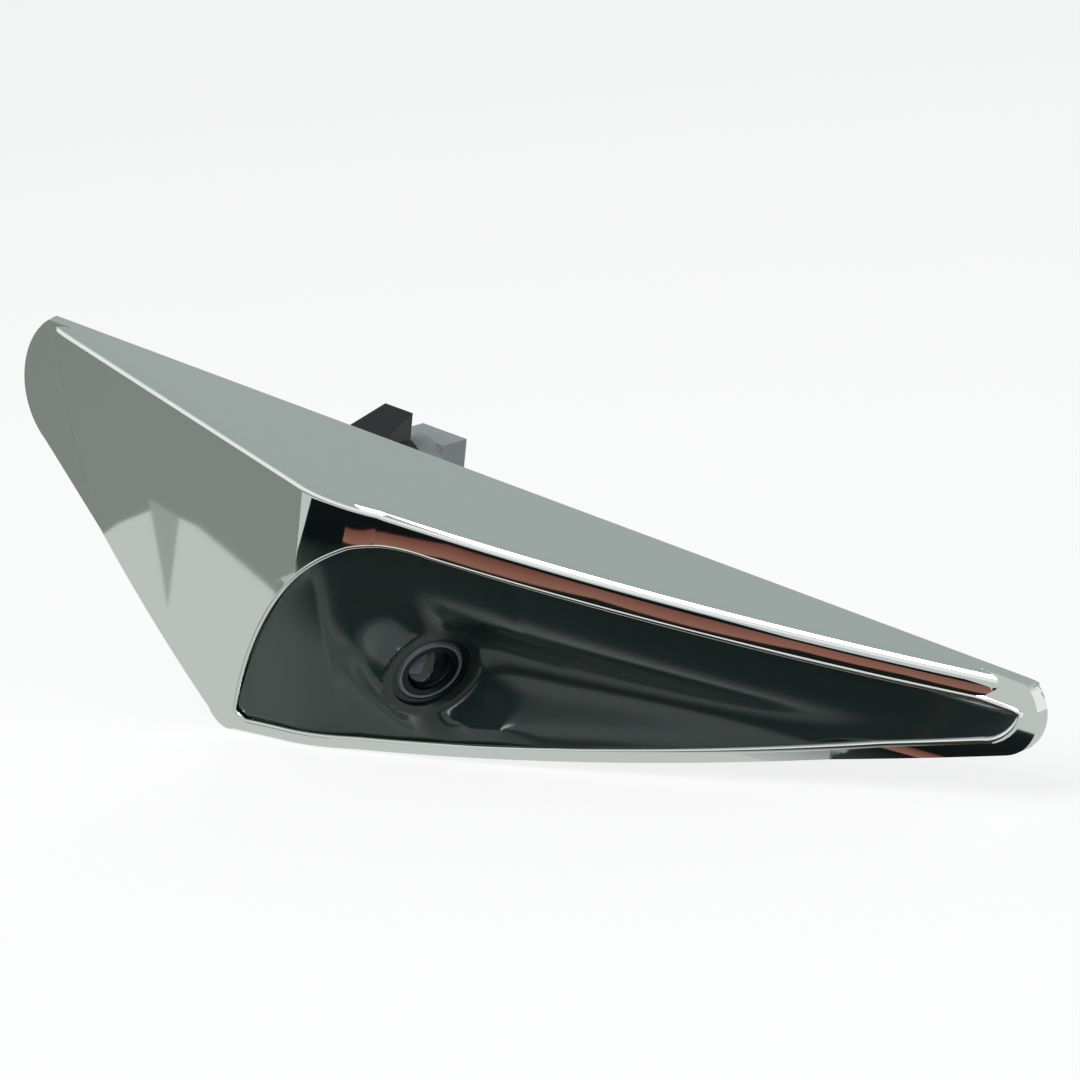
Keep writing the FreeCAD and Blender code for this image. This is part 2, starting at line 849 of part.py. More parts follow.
# ---------------------------------------------------------------- cover, seal and gasket
cover_seal = extrude("cover_seal", neck_outer, "-neck_length", COVER_FRONT)
seal_room = extrude("cover_seal_room", neck_inner, "-neck_length + 1", COVER_FRONT + " + 1")
keep(cut("neck_seal_ring", cover_seal, seal_room), "neck_cover_seal")

cover_plate = extrude("cover_plate", neck_outer, "-(" + COVER_FRONT + ")", COVER_BACK)
cover_holes = [flush_hole("cover_hole", x, drop, COVER_BACK, "cover_thickness") for x, drop in COVER_BOSSES]
CONNECTOR_Z = "-connector_drop"


def back_tube(name, radius, start, end, x, z):
    """Cylinder that runs to the back between two distances from the base."""
    return cylinder(name, radius, "(" + end + ") - (" + start + ")", x, start, z, ALONG_Y)


connector_hole = back_tube(
    "connector_hole", "connector_radius + fit", COVER_FRONT + " - 1", COVER_BACK + " + 1",
    "connector_x", CONNECTOR_Z,
)
vent_seat = back_tube(
    "vent_seat", "vent_radius", COVER_BACK + " - vent_depth", COVER_BACK + " + 1", "vent_x", "-vent_drop",
)
vent_hole = back_tube(
    "vent_hole", "vent_radius / 2", COVER_FRONT + " - 1", COVER_BACK + " + 1", "vent_x", "-vent_drop",
)
cover = cut("cover", cover_plate, fuse("cover_openings", connector_hole, vent_seat, vent_hole, *cover_holes))
keep(cover, "neck_cover")
vent = back_tube(
    "vent", "vent_radius - fit", COVER_BACK + " - vent_depth", COVER_BACK, "vent_x", "-vent_drop",
)
keep(held("vent_piece", vent), "vent_membrane")

gasket_flat = extrude("gasket_flat", offset("gasket_edge", outline, "gasket_inset"), "0", "gasket_thickness")
gasket_window = extrude(
    "gasket_window", rounded_window("gasket_hole", "gasket_neck_gap"), "1", "gasket_thickness + 1",
)
peg_holes = [
    back_post("peg_hole", "peg_radius + gasket_peg_gap", "gasket_thickness + 2", x, drop, "-1")
    for x, drop in PEGS
]
keep(cut("gasket", gasket_flat, gasket_window, fuse("peg_holes", *peg_holes)), "mounting_gasket")

# ---------------------------------------------------------------- screws
keep(
    fuse("housing_screws", *[flush_screw("housing_screw", x, drop) for x, drop in HOUSING_SCREWS]),
    "housing_screws",
)
keep(
    fuse("bezel_screws", *[flush_screw("bezel_screw", x, drop) for x, drop in BEZEL_SCREWS]),
    "bezel_screws",
)
cover_screws = []
for x, drop in COVER_BOSSES:
    z = "-(" + drop + ")"
    head = cone(
        "cover_screw_head", "flush_radius", "screw_radius", "flush_depth", x, COVER_BACK, z, FACING_OUT,
    )
    shank = cylinder(
        "cover_screw_shank", "screw_radius", "cover_thickness + neck_seal + screw_bite", x,
        COVER_BACK, z, FACING_OUT,
    )
    cover_screws.append(fuse("cover_screw", head, shank))
keep(fuse("cover_screw_set", *cover_screws), "cover_screws")

# ---------------------------------------------------------------- camera: optics
RECESS = "(barrel_setback + retainer_depth + 0.1)"
SEAT_END = "(" + RECESS + " + seat_depth)"
BARREL_BACK = "(barrel_setback + barrel_length)"


def lens_ring(name, label, outer, inner, front, back):
    return keep(ring(name, outer, inner, "-(" + front + ")", "-(" + back + ")"), label, True)


lens_ring(
    "seal_ring", "lens_seal_ring", "ring_radius - fit", "barrel_radius + fit", "ring_setback",
    "ring_setback + ring_depth",
)
barrel = turned(
    "barrel",
    [
        ("barrel_lip_bore", "-" + BARREL_BACK),
        ("barrel_radius", "-" + BARREL_BACK),
        ("barrel_radius", "-(barrel_setback + barrel_chamfer)"),
        ("barrel_radius - barrel_chamfer", "-barrel_setback"),
        ("retainer_radius", "-barrel_setback"),
        ("retainer_radius", "-" + RECESS),
        ("seat_radius", "-" + RECESS),
        ("seat_radius", "-" + SEAT_END),
        ("barrel_bore", "-" + SEAT_END),
        ("barrel_bore", "-(barrel_setback + barrel_length - barrel_lip)"),
        ("barrel_lip_bore", "-(barrel_setback + barrel_length - barrel_lip)"),
    ],
)
keep(barrel, "lens_barrel", True)
lens_ring(
    "retainer", "lens_retaining_ring", "retainer_radius - fit", "retainer_bore",
    RECESS + " - retainer_depth", RECESS,
)


def dome(name, radius, sag, top, side):
    """Ball whose cap of the given rise and rim radius has its top at a height; side 1 is forward."""
    ball_radius = "((" + radius + ")^2 + (" + sag + ")^2) / (2 * (" + sag + "))"
    centre = "-(" + top + ") - (" + ball_radius + ")" if side > 0 else "-(" + top + ") + " + ball_radius
    ball = doc.addObject("Part::Sphere", name)
    bind(ball, "Radius", ball_radius)
    return place(ball, "0", "0", centre)


def lens_element(name, label, radius, front, back, front_sag, back_sag, hollow=False):
    """Glass element with a domed front, and a back that is domed or hollow."""
    blank = cylinder(name + "_blank", radius, "(" + back + ") - (" + front + ")", "0", "0", "-(" + back + ")")
    faced = common(name + "_faced", blank, dome(name + "_front", radius, front_sag, front, 1))
    if hollow:
        ball = dome(name + "_back", radius, back_sag, "(" + back + ") - (" + back_sag + ")", 1)
        return keep(cut(name, faced, ball), label, True)
    return keep(common(name, faced, dome(name + "_back", radius, back_sag, back, -1)), label, True)


MIDDLE_FRONT = "(" + SEAT_END + " + front_spacer)"
MIDDLE_BACK = "(" + MIDDLE_FRONT + " + middle_lens_depth)"
REAR_FRONT = "(" + MIDDLE_BACK + " + rear_spacer)"
lens_element(
    "front_glass", "front_lens", "(seat_radius - fit)", RECESS + " - lens_rise", SEAT_END,
    "front_sag", "back_hollow", True,
)
lens_ring("spacer_one", "front_lens_spacer", "barrel_bore - fit", "barrel_lip_bore", SEAT_END, MIDDLE_FRONT)
lens_element(
    "middle_glass", "middle_lens", "(barrel_bore - fit)", MIDDLE_FRONT, MIDDLE_BACK, "inner_sag",
    "inner_sag",
)
lens_ring("spacer_two", "rear_lens_spacer", "barrel_bore - fit", "barrel_lip_bore", MIDDLE_BACK, REAR_FRONT)
lens_element(
    "rear_glass", "rear_lens", "(barrel_bore - fit)", REAR_FRONT,
    "barrel_setback + barrel_length - barrel_lip", "inner_sag", "inner_sag",
)

# ---------------------------------------------------------------- camera: housings
def with_ears(name, turned_body, front, back):
    """Add two screw ears beside a turned housing, with their clearance holes."""
    depth = "(" + back + ") - (" + front + ")"
    bar = box(
        name + "_bar", EAR_OFFSET + " * 2", "ear_radius * 2", depth, "-" + EAR_OFFSET,
        "-ear_radius", "-(" + back + ")",
    )
    tips = [cylinder(name + "_ear", "ear_radius", depth, x, "0", "-(" + back + ")") for x in EARS]
    core = cylinder(name + "_core", "housing_radius - 0.2", depth, "0", "0", "-(" + back + ")")
    holes = [cylinder(name + "_hole", HOLE, depth, x, "0", "-(" + back + ")") for x in EARS]
    side_ears = cut(name + "_ears", fuse(name + "_bars", bar, *tips), core, fuse(name + "_holes", *holes))
    return fuse(name, turned_body, side_ears)


holder = turned(
    "holder_turned",
    [
        ("barrel_radius + fit", "-housing_front"),
        ("housing_radius", "-housing_front"),
        ("housing_radius", "-housing_joint"),
        ("housing_radius - holder_wall", "-housing_joint"),
        ("housing_radius - holder_wall", "-(holder_stop + holder_stop_depth)"),
        ("holder_stop_bore", "-(holder_stop + holder_stop_depth)"),
        ("holder_stop_bore", "-holder_stop"),
        ("barrel_radius + fit", "-holder_stop"),
    ],
)
keep(with_ears("holder", holder, "housing_joint - ear_depth", "housing_joint"), "camera_front_housing", True)
CAN_FRONT = "(housing_joint + seal_depth)"
CAN_BACK = "(housing_joint + seal_depth + can_length)"
lens_ring(
    "body_seal", "camera_body_seal", "housing_radius", "housing_radius - seal_width",
    "housing_joint", CAN_FRONT,
)
can = turned(
    "can_turned",
    [
        ("lead_radius + fit", "-" + CAN_BACK),
        ("housing_radius", "-" + CAN_BACK),
        ("housing_radius", "-" + CAN_FRONT),
        ("housing_radius - can_wall", "-" + CAN_FRONT),
        ("housing_radius - can_wall", "-" + CAN_BACK + " + can_end"),
        ("lead_radius + fit", "-" + CAN_BACK + " + can_end"),
    ],
)
keep(with_ears("can", can, CAN_FRONT, CAN_FRONT + " + ear_depth"), "camera_rear_housing", True)
camera_screws = []
for x in EARS:
    seat = CAN_FRONT + " + ear_depth"
    head = cylinder("camera_screw_head", "head_radius", "head_depth", x, "0", "-(" + seat + " + head_depth)")
    reach = "seal_depth + ear_depth * 2 + screw_bite - 0.3"
    shank = cylinder("camera_screw_shank", "screw_radius", reach, x, "0", "-(" + seat + ")")
    camera_screws.append(fuse("camera_screw", head, shank))
keep(fuse("camera_screw_set", *camera_screws), "camera_screws", True)

# ---------------------------------------------------------------- camera: electronics
BOARD_RADIUS = "(housing_radius - can_wall - board_gap)"
SPACER_BORE = "(" + BOARD_RADIUS + " - spacer_ring_wall)"
HEADER_OFFSET = "(" + SPACER_BORE + " - header_inset)"
BOARD_BACK = "(board_front + board_depth)"
SECOND_FRONT = "(board_front + board_step)"
SECOND_BACK = "(board_front + board_step + board_depth)"


def disc(name, label, radius, front, back):
    plate = cylinder(name, radius, "(" + back + ") - (" + front + ")", "0", "0", "-(" + back + ")")
    return keep(held(name + "_piece", plate), label, True)


def block(name, label, width, breadth, front, back, x="0", y="0"):
    body = box(
        name, width, breadth, "(" + back + ") - (" + front + ")",
        x + " - (" + width + ") / 2", y + " - (" + breadth + ") / 2", "-(" + back + ")",
    )
    return keep(held(name + "_piece", body), label, True)


disc(
    "filter", "infrared_filter", "filter_radius", "holder_stop + holder_stop_depth",
    "holder_stop + holder_stop_depth + filter_depth",
)
disc("board_one", "sensor_board", BOARD_RADIUS, "board_front", BOARD_BACK)
disc("board_two", "processor_board", BOARD_RADIUS, SECOND_FRONT, SECOND_BACK)
block("sensor", "image_sensor", "chip_width", "chip_width", "board_front - chip_depth", "board_front")
block(
    "sensor_glass", "sensor_cover_glass", "chip_width", "chip_width",
    "board_front - chip_depth - cover_glass_depth", "board_front - chip_depth",
)
block(
    "processor", "image_processor", "processor_width", "processor_width",
    SECOND_FRONT + " - processor_depth", SECOND_FRONT,
)
block(
    "header", "board_connector", "header_width", "header_breadth", BOARD_BACK, SECOND_FRONT, "0",
    HEADER_OFFSET,
)
lens_ring("spacer_front", "front_board_spacer", BOARD_RADIUS, SPACER_BORE, "housing_joint", "board_front")
lens_ring("spacer_middle", "middle_board_spacer", BOARD_RADIUS, SPACER_BORE, BOARD_BACK, SECOND_FRONT)
lens_ring("spacer_back", "rear_board_spacer", BOARD_RADIUS, SPACER_BORE, SECOND_BACK, CAN_BACK + " - can_end")
block(
    "socket_block", "lead_socket", "plug_width", "plug_width", SECOND_BACK,
    SECOND_BACK + " + socket_height",
)
block(
    "plug_block", "lead_plug", "plug_width", "plug_width", SECOND_BACK + " + socket_height",
    CAN_BACK + " - can_end",
)

# ---------------------------------------------------------------- connector
connector_barrel = back_tube(
    "connector_barrel", "connector_radius", "connector_inner", "connector_shoulder", "connector_x",
    CONNECTOR_Z,
)
connector_collar = back_tube(
    "connector_collar", "collar_radius", "connector_inner", COVER_FRONT, "connector_x", CONNECTOR_Z,
)
mouth = box(
    "mouth", "mouth_width", "connector_mouth - connector_shoulder", "mouth_width",
    "connector_x - mouth_width / 2", "connector_shoulder", "-connector_drop - mouth_width / 2",
)
socket = back_tube(
    "socket", "socket_radius", "socket_bottom", "connector_mouth + 1", "connector_x", CONNECTOR_Z,
)
seal_socket = back_tube(
    "seal_socket", "seal_socket_radius", "connector_inner - 1", "seal_socket_bottom", "connector_x",
    CONNECTOR_Z,
)
HALF_PITCH = "terminal_pitch / 2"
TERMINALS = [(sx, sz) for sx in (" - ", " + ") for sz in (" - ", " + ")]


def terminal_pins(name, start, end):
    return [
        back_tube(
            name, "terminal_radius", start, end, "connector_x" + sx + HALF_PITCH,
            CONNECTOR_Z + sz + HALF_PITCH,
        )
        for sx, sz in TERMINALS
    ]


connector = cut(
    "connector",
    fuse("connector_solid", connector_barrel, connector_collar, mouth),
    fuse("connector_rooms", socket, seal_socket),
    fuse("terminal_holes", *terminal_pins("terminal_hole", "seal_socket_bottom - 1", "socket_bottom + 1")),
)
keep(connector, "connector_housing")
keep(
    fuse("terminals", *terminal_pins("terminal", "seal_socket_bottom", "terminal_tip")),
    "connector_terminals",
)
lead_seal = cut(
    "lead_seal_piece",
    back_tube(
        "lead_seal_body", "seal_socket_radius - fit", "connector_inner", "seal_socket_bottom - 0.1",
        "connector_x", CONNECTOR_Z,
    ),
    back_tube(
        "lead_seal_bore", "lead_radius + fit", "connector_inner - 1", "seal_socket_bottom",
        "connector_x", CONNECTOR_Z,
    ),
)
keep(lead_seal, "lead_seal")

LOCK_START = COVER_BACK + " + lock_gap"
LOCK_END = COVER_BACK + " + lock_gap + lock_width"
LOCK_OUTER = "connector_radius + lock_gap + lock_wall"
lock_tab = doc.addObject("Part::Wedge", "lock_tab")
for prop, text in (
    ("Xmin", "-tab_foot_half"),
    ("Xmax", "tab_foot_half"),
    ("X2min", "-tab_tip_half"),
    ("X2max", "tab_tip_half"),
    ("Ymin", "0"),
    ("Ymax", "lock_width"),
    ("Zmin", "0"),
    ("Z2min", "0"),
    ("Zmax", "tab_foot"),
    ("Z2max", "tab_rise"),
):
    bind(lock_tab, prop, text)
place(lock_tab, "connector_x", LOCK_START, "-connector_drop + connector_radius + lock_gap + lock_wall / 2")
lock = cut(
    "lock",
    fuse(
        "lock_solid",
        back_tube("lock_ring", LOCK_OUTER, LOCK_START, LOCK_END, "connector_x", CONNECTOR_Z),
        lock_tab,
    ),
    back_tube(
        "lock_bore", "connector_radius + lock_gap", COVER_BACK, COVER_BACK + " + lock_width * 2",
        "connector_x", CONNECTOR_Z,
    ),
    box(
        "lock_opening", "lock_window", "lock_width * 0.6", "connector_radius * 2",
        "connector_x - lock_window / 2", LOCK_START + " - 0.1", "-connector_drop - connector_radius * 2",
    ),
)
keep(lock, "connector_lock")

# ---------------------------------------------------------------- lead from the camera to the connector
def tangent_route(points):
    """Straight runs joined by arcs as large as 0.45 of the shorter run allows."""
    edges = []
    here = points[0]
    for before, corner, after in zip(points, points[1:], points[2:]):
        arriving = (corner - before).normalize()
        leaving = (after - corner).normalize()
        turn = arriving.getAngle(leaving)
        reach = 0.45 * min((corner - before).Length, (after - corner).Length)
        radius = reach / math.tan(turn / 2)
        print("lead bend radius %.2f mm, %.1f diameters" % (radius, radius / (2 * SIZES["lead_radius"])))
        start = corner - arriving * reach
        end = corner + leaving * reach
        inward = (leaving - arriving).normalize()
        middle = corner + inward * (radius / math.cos(turn / 2) - radius)
        edges.append(Part.LineSegment(here, start).toShape())
        edges.append(Part.Arc(start, middle, end).toShape())
        here = end
    edges.append(Part.LineSegment(here, points[-1]).toShape())
    return Part.Wire(edges)


def depth_on_axis(depth):
    return LENS.multVec(V(0, 0, -depth))


lead_route = [
    depth_on_axis(size(CAN_BACK + " - can_end")),
    depth_on_axis(SIZES["lead_bend_depth"]),
    V(SIZES["connector_x"], SIZES["lead_rise"], -SIZES["connector_drop"]),
    V(SIZES["connector_x"], SIZES["lead_end"], -SIZES["connector_drop"]),
]
lead_wire = tangent_route(lead_route)
lead_circle = Part.makeCircle(SIZES["lead_radius"], lead_route[0], lead_route[1] - lead_route[0])
lead = doc.addObject("Part::Feature", "lead")
lead.Shape = lead_wire.makePipeShell([Part.Wire(lead_circle)], True, True)
expected = math.pi * SIZES["lead_radius"] ** 2 * lead_wire.Length
print(
    "lead length %.1f mm, volume %.2f, section times length %.2f" % (lead_wire.Length, lead.Shape.Volume, expected),
)
keep(lead, "camera_lead")

# ---------------------------------------------------------------- retaining spring
spring = doc.addObject("PartDesign::Body", "spring")
SPRING_X = "neck_right + pin_stand"
leaf_sketch = body_sketch(
    spring,
    "XY_Plane",
    [
        (SPRING_X + " + eye_radius * 0.1", "pin_back"),
        (SPRING_X + " + spring_lean", "pin_back - spring_length"),
        (SPRING_X + " + spring_lean + spring_thickness", "pin_back - spring_length + 0.1"),
        (SPRING_X + " + eye_radius * 0.8", "pin_back"),
    ],
)
leaf_pad = spring.newObject("PartDesign::Pad", "leaf_pad")
leaf_pad.Profile = leaf_sketch
bind(leaf_pad, "Length", "spring_width")
spring_eye = cylinder(
    "spring_eye", "eye_radius", "spring_width", SPRING_X, "pin_back", "-spring_drop - spring_width / 2",
)
spring_bore = cylinder(
    "spring_bore", "pin_radius + pin_fit", "spring_width + 2", SPRING_X, "pin_back",
    "-spring_drop - spring_width / 2 - 1",
)
bind(spring, "Placement.Base.z", "-spring_drop - spring_width / 2")
keep(cut("spring_leaf", fuse("spring_solid", spring, spring_eye), spring_bore), "retaining_spring")
spring_pin = cylinder("pin_rod", "pin_radius", PIN_LENGTH, SPRING_X, "pin_back", PIN_LOW)
keep(held("spring_pin_piece", spring_pin), "spring_pin")

# ---------------------------------------------------------------- check and write
doc.recompute()
for thing in doc.Objects:
    if "Invalid" in thing.State or "Error" in thing.State:
        raise RuntimeError("failed: " + thing.Name)
os.makedirs("parts", exist_ok=True)
for thing in nodes:
    shape = thing.Shape
    if shape.isNull() or not shape.isValid() or not shape.Solids:
        raise RuntimeError("bad shape: " + thing.Label)
for thing in nodes:
    thing.Shape.exportStep("parts/" + thing.Label + ".step")
print(len(nodes), "nodes written")
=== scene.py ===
"""Backup camera: looks of the chrome wedge, its gloss pod and what stands behind the panel."""
import math

import bpy
import numpy as np
from mathutils import Matrix, Vector


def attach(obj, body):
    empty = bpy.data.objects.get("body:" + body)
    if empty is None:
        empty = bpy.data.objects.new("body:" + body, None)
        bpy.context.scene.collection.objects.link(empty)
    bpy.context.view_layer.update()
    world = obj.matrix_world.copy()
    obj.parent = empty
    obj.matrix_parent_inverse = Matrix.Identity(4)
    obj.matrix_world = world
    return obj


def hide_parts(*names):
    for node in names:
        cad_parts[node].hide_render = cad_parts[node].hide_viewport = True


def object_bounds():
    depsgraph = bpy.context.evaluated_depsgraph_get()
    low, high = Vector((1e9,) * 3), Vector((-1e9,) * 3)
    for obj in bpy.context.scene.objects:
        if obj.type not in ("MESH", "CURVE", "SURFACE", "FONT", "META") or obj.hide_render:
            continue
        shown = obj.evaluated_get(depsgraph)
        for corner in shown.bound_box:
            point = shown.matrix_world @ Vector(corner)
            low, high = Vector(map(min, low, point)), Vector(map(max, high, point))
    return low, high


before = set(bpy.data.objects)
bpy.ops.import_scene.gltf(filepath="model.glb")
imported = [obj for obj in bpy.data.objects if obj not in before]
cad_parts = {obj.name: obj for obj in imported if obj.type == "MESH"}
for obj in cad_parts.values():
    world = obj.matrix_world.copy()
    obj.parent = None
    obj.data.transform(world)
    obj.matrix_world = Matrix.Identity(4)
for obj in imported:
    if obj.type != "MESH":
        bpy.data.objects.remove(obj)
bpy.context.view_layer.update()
bpy.ops.object.select_all(action="DESELECT")
scene = bpy.context.scene

# ------------------------------------------------------------------ materials


def linear(code):
    """sRGB hex code to linear RGBA."""
    parts = [int(code[i : i + 2], 16) / 255 for i in (0, 2, 4)]
    return [p / 12.92 if p <= 0.04045 else ((p + 0.055) / 1.055) ** 2.4 for p in parts] + [1.0]


def add_node(tree, kind, settings=None, links=None):
    """Add a node, set its properties and unlinked inputs, and link the rest."""
    node = tree.nodes.new(kind)
    for key, value in (settings or {}).items():
        if isinstance(key, str) and hasattr(node, key):
            setattr(node, key, value)
        else:
            node.inputs[key].default_value = value
    for key, source in (links or {}).items():
        tree.links.new(source, node.inputs[key])
    return node


def empty_tree(owner):
    """Node tree of a material or world, with nothing in it."""
    owner.use_nodes = True
    owner.node_tree.nodes.clear()
    return owner.node_tree


def finish(name, code, metallic, roughness, ior=None, grain_mm=None, relief=0.0, mottle=0.0, extras=None):
    """Principled finish with a fine relief and a slight unevenness of gloss, both in real sizes."""
    material = bpy.data.materials.new(name)
    tree = empty_tree(material)
    settings = {"Base Color": linear(code), "Metallic": metallic, "Roughness": roughness}
    if ior is not None:
        settings["IOR"] = ior
    settings.update(extras or {})
    links = {}
    if grain_mm:
        place = add_node(tree, "ShaderNodeTexCoord")
        grain = add_node(
            tree,
            "ShaderNodeTexNoise",
            {"Scale": 1000 / grain_mm, "Detail": 3.0, "Roughness": 0.55},
            {"Vector": place.outputs["Object"]},
        )
        if relief:
            bump = add_node(
                tree,
                "ShaderNodeBump",
                {"Strength": relief, "Distance": grain_mm / 4000},
                {"Height": grain.outputs["Fac"]},
            )
            links["Normal"] = bump.outputs["Normal"]
        if mottle:
            gloss = add_node(
                tree,
                "ShaderNodeMapRange",
                {"To Min": max(roughness - mottle, 0.01), "To Max": roughness + mottle},
                {"Value": grain.outputs["Fac"]},
            )
            links["Roughness"] = gloss.outputs["Result"]
    shader = add_node(tree, "ShaderNodeBsdfPrincipled", settings, links)
    add_node(tree, "ShaderNodeOutputMaterial", None, {"Surface": shader.outputs["BSDF"]})
    return material


# Chrome-plated ABS: a thin bright skin over moulded plastic, a mirror with barely any haze
chrome_plate = finish("Chrome plated ABS", "eef0f0", 1.0, 0.035, grain_mm=9.0, mottle=0.012)
# Polished dark ABS: a deep green-black with a soft gloss that blurs what it mirrors
gloss_black = finish("Polished black ABS", "16211f", 0.0, 0.2, ior=1.52, grain_mm=6.0, mottle=0.03)
# Moulded PA6-GF30: charcoal with a fine spark-eroded grain that spreads highlights
glass_nylon = finish(
    "Moulded glass-filled nylon", "232528", 0.0, 0.55, ior=1.53, grain_mm=0.35, relief=0.35, mottle=0.08
)
# Closed-cell EPDM foam: soft near-black with tiny pits, no shine
foam = finish("Closed-cell EPDM foam", "1c1c1e", 0.0, 0.92, ior=1.5, grain_mm=0.5, relief=0.6)
# Moulded silicone rubber: matt black with a faint skin sheen
silicone = finish("Moulded silicone rubber", "141416", 0.0, 0.6, ior=1.42, grain_mm=0.8, relief=0.12)
# PBT cover: smooth satin black, slightly lighter than the neck
pbt_black = finish("Moulded black PBT", "1a1b1d", 0.0, 0.42, ior=1.57, grain_mm=0.4, relief=0.2, mottle=0.05)
# Expanded PTFE membrane: chalky white felt
membrane = finish("Expanded PTFE membrane", "d9d9d4", 0.0, 0.85, ior=1.35, grain_mm=0.25, relief=0.5)
# Zinc-plated steel: pale metal, softly brushed by tumbling
zinc_steel = finish("Zinc-plated steel", "b5b9bc", 1.0, 0.3, grain_mm=0.6, relief=0.08, mottle=0.08)
# Satin black POM ring: dark, with a wide soft highlight round the lens
satin_ring = finish("Satin black acetal", "0c0d0f", 0.0, 0.28, ior=1.48, grain_mm=0.5, mottle=0.05)
# Black anodised aluminium: dark metal with a graphite sheen on its chamfer
black_anodised = finish("Black anodised aluminium", "2c2e32", 1.0, 0.34, grain_mm=0.4, mottle=0.06)
# Grey anodised aluminium: dull grey-green face of the lens barrel, the lighter ring round the glass
grey_anodised = finish("Grey anodised aluminium", "5c6a68", 0.35, 0.42, grain_mm=0.4, mottle=0.06)
# Coated optical glass: clear, and violet where several coated faces stand behind each other
coated_glass = finish(
    "Coated optical glass", "b7bcdc", 0.0, 0.03, ior=1.6, extras={"Transmission Weight": 1.0}
)
# Filter glass: clear plate with a faint cyan cast
filter_glass = finish(
    "Infrared filter glass", "cfe6ea", 0.0, 0.01, ior=1.52, extras={"Transmission Weight": 1.0}
)
# Moulded black LCP: dark, dull engineering plastic of the lens holder
holder_plastic = finish("Moulded black LCP", "1d1e20", 0.0, 0.5, ior=1.6, grain_mm=0.3, relief=0.2)
# Die-cast aluminium: pale grey with a fine blasted grain
cast_aluminium = finish(
    "Blasted die-cast aluminium", "9a9ea3", 1.0, 0.42, grain_mm=0.3, relief=0.25, mottle=0.08
)
# Green solder resist over FR4: glossy translucent green
solder_resist = finish("Green solder resist", "17502f", 0.0, 0.25, ior=1.52, grain_mm=1.2, mottle=0.06)
# Moulded epoxy: matt black chip body
epoxy = finish("Moulded black epoxy", "17181a", 0.0, 0.5, ior=1.55, grain_mm=0.2, relief=0.2)
# Bare silicon sensor: dark violet mirror
silicon = finish("Polished silicon sensor", "2b2444", 0.6, 0.12, grain_mm=1.0, mottle=0.03)
# Natural nylon: warm ivory plastic of the small board connectors
natural_nylon = finish("Natural nylon", "d8d2c0", 0.0, 0.45, ior=1.53, grain_mm=0.5, relief=0.1)
# Grey PBT connector: mid grey moulding with soft highlights
pbt_grey = finish("Moulded grey PBT", "8b9092", 0.0, 0.4, ior=1.57, grain_mm=0.4, relief=0.15, mottle=0.06)
# Tin-flashed brass: warm pale metal of the terminals
tinned_brass = finish("Tin-flashed brass", "c9b27a", 1.0, 0.25, grain_mm=0.5, mottle=0.06)
# Black acetal lock: smooth and slightly waxy
acetal_black = finish(
    "Moulded black acetal", "111214", 0.0, 0.35, ior=1.48, grain_mm=0.6, relief=0.06, mottle=0.05
)
# PVC lead jacket: soft black with a drawn satin skin
pvc_jacket = finish("Black PVC jacket", "131414", 0.0, 0.48, ior=1.53, grain_mm=0.6, relief=0.1)
# Bright spring steel: cold-rolled strip with a crisp shine
spring_steel = finish("Bright spring steel", "9da2a6", 1.0, 0.22, grain_mm=0.5, relief=0.05, mottle=0.06)

FINISHES = {
    "chrome_housing": chrome_plate,
    "camera_bezel": gloss_black,
    "base_plate": glass_nylon,
    "mounting_gasket": foam,
    "neck_cover_seal": silicone,
    "neck_cover": pbt_black,
    "vent_membrane": membrane,
    "housing_screws": zinc_steel,
    "bezel_screws": zinc_steel,
    "cover_screws": zinc_steel,
    "camera_screws": zinc_steel,
    "lens_seal_ring": satin_ring,
    "lens_barrel": grey_anodised,
    "lens_retaining_ring": black_anodised,
    "front_lens": coated_glass,
    "middle_lens": coated_glass,
    "rear_lens": coated_glass,
    "front_lens_spacer": black_anodised,
    "rear_lens_spacer": black_anodised,
    "infrared_filter": filter_glass,
    "camera_front_housing": holder_plastic,
    "camera_rear_housing": cast_aluminium,
    "camera_body_seal": silicone,
    "sensor_board": solder_resist,
    "processor_board": solder_resist,
    "image_sensor": silicon,
    "sensor_cover_glass": filter_glass,
    "image_processor": epoxy,
    "board_connector": natural_nylon,
    "front_board_spacer": black_anodised,
    "middle_board_spacer": black_anodised,
    "rear_board_spacer": black_anodised,
    "lead_socket": natural_nylon,
    "lead_plug": natural_nylon,
    "connector_housing": pbt_grey,
    "connector_terminals": tinned_brass,
    "lead_seal": silicone,
    "connector_lock": acetal_black,
    "camera_lead": pvc_jacket,
    "retaining_spring": spring_steel,
    "spring_pin": spring_steel,
}
for node_name, material in FINISHES.items():
    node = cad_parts[node_name]
    node.data.materials.clear()
    node.data.materials.append(material)

# ------------------------------------------------------------------ where things are
# Lengths are in millimetres in the part's own directions: x along the top edge from the front tip,
# out from the panel, drop below the top edge.
TILT = math.radians(15.0)
MM = 0.001
# The row frame's origin: the front peg's axis, where it leaves the 1 mm gasket.
PEG_X, GASKET, PEG_DROP = 19.0, 1.0, 15.5
HEIGHT = 45.0


def spot(x, out, drop):
    """Place in the row frame, in metres, of a point given in the part's own directions."""
    along, depth, rise = x - PEG_X, -out - GASKET, PEG_DROP - drop
    return Vector((
        (along * math.cos(TILT) + rise * math.sin(TILT)) * MM,
        depth * MM,
        (-along * math.sin(TILT) + rise * math.cos(TILT)) * MM,
    ))


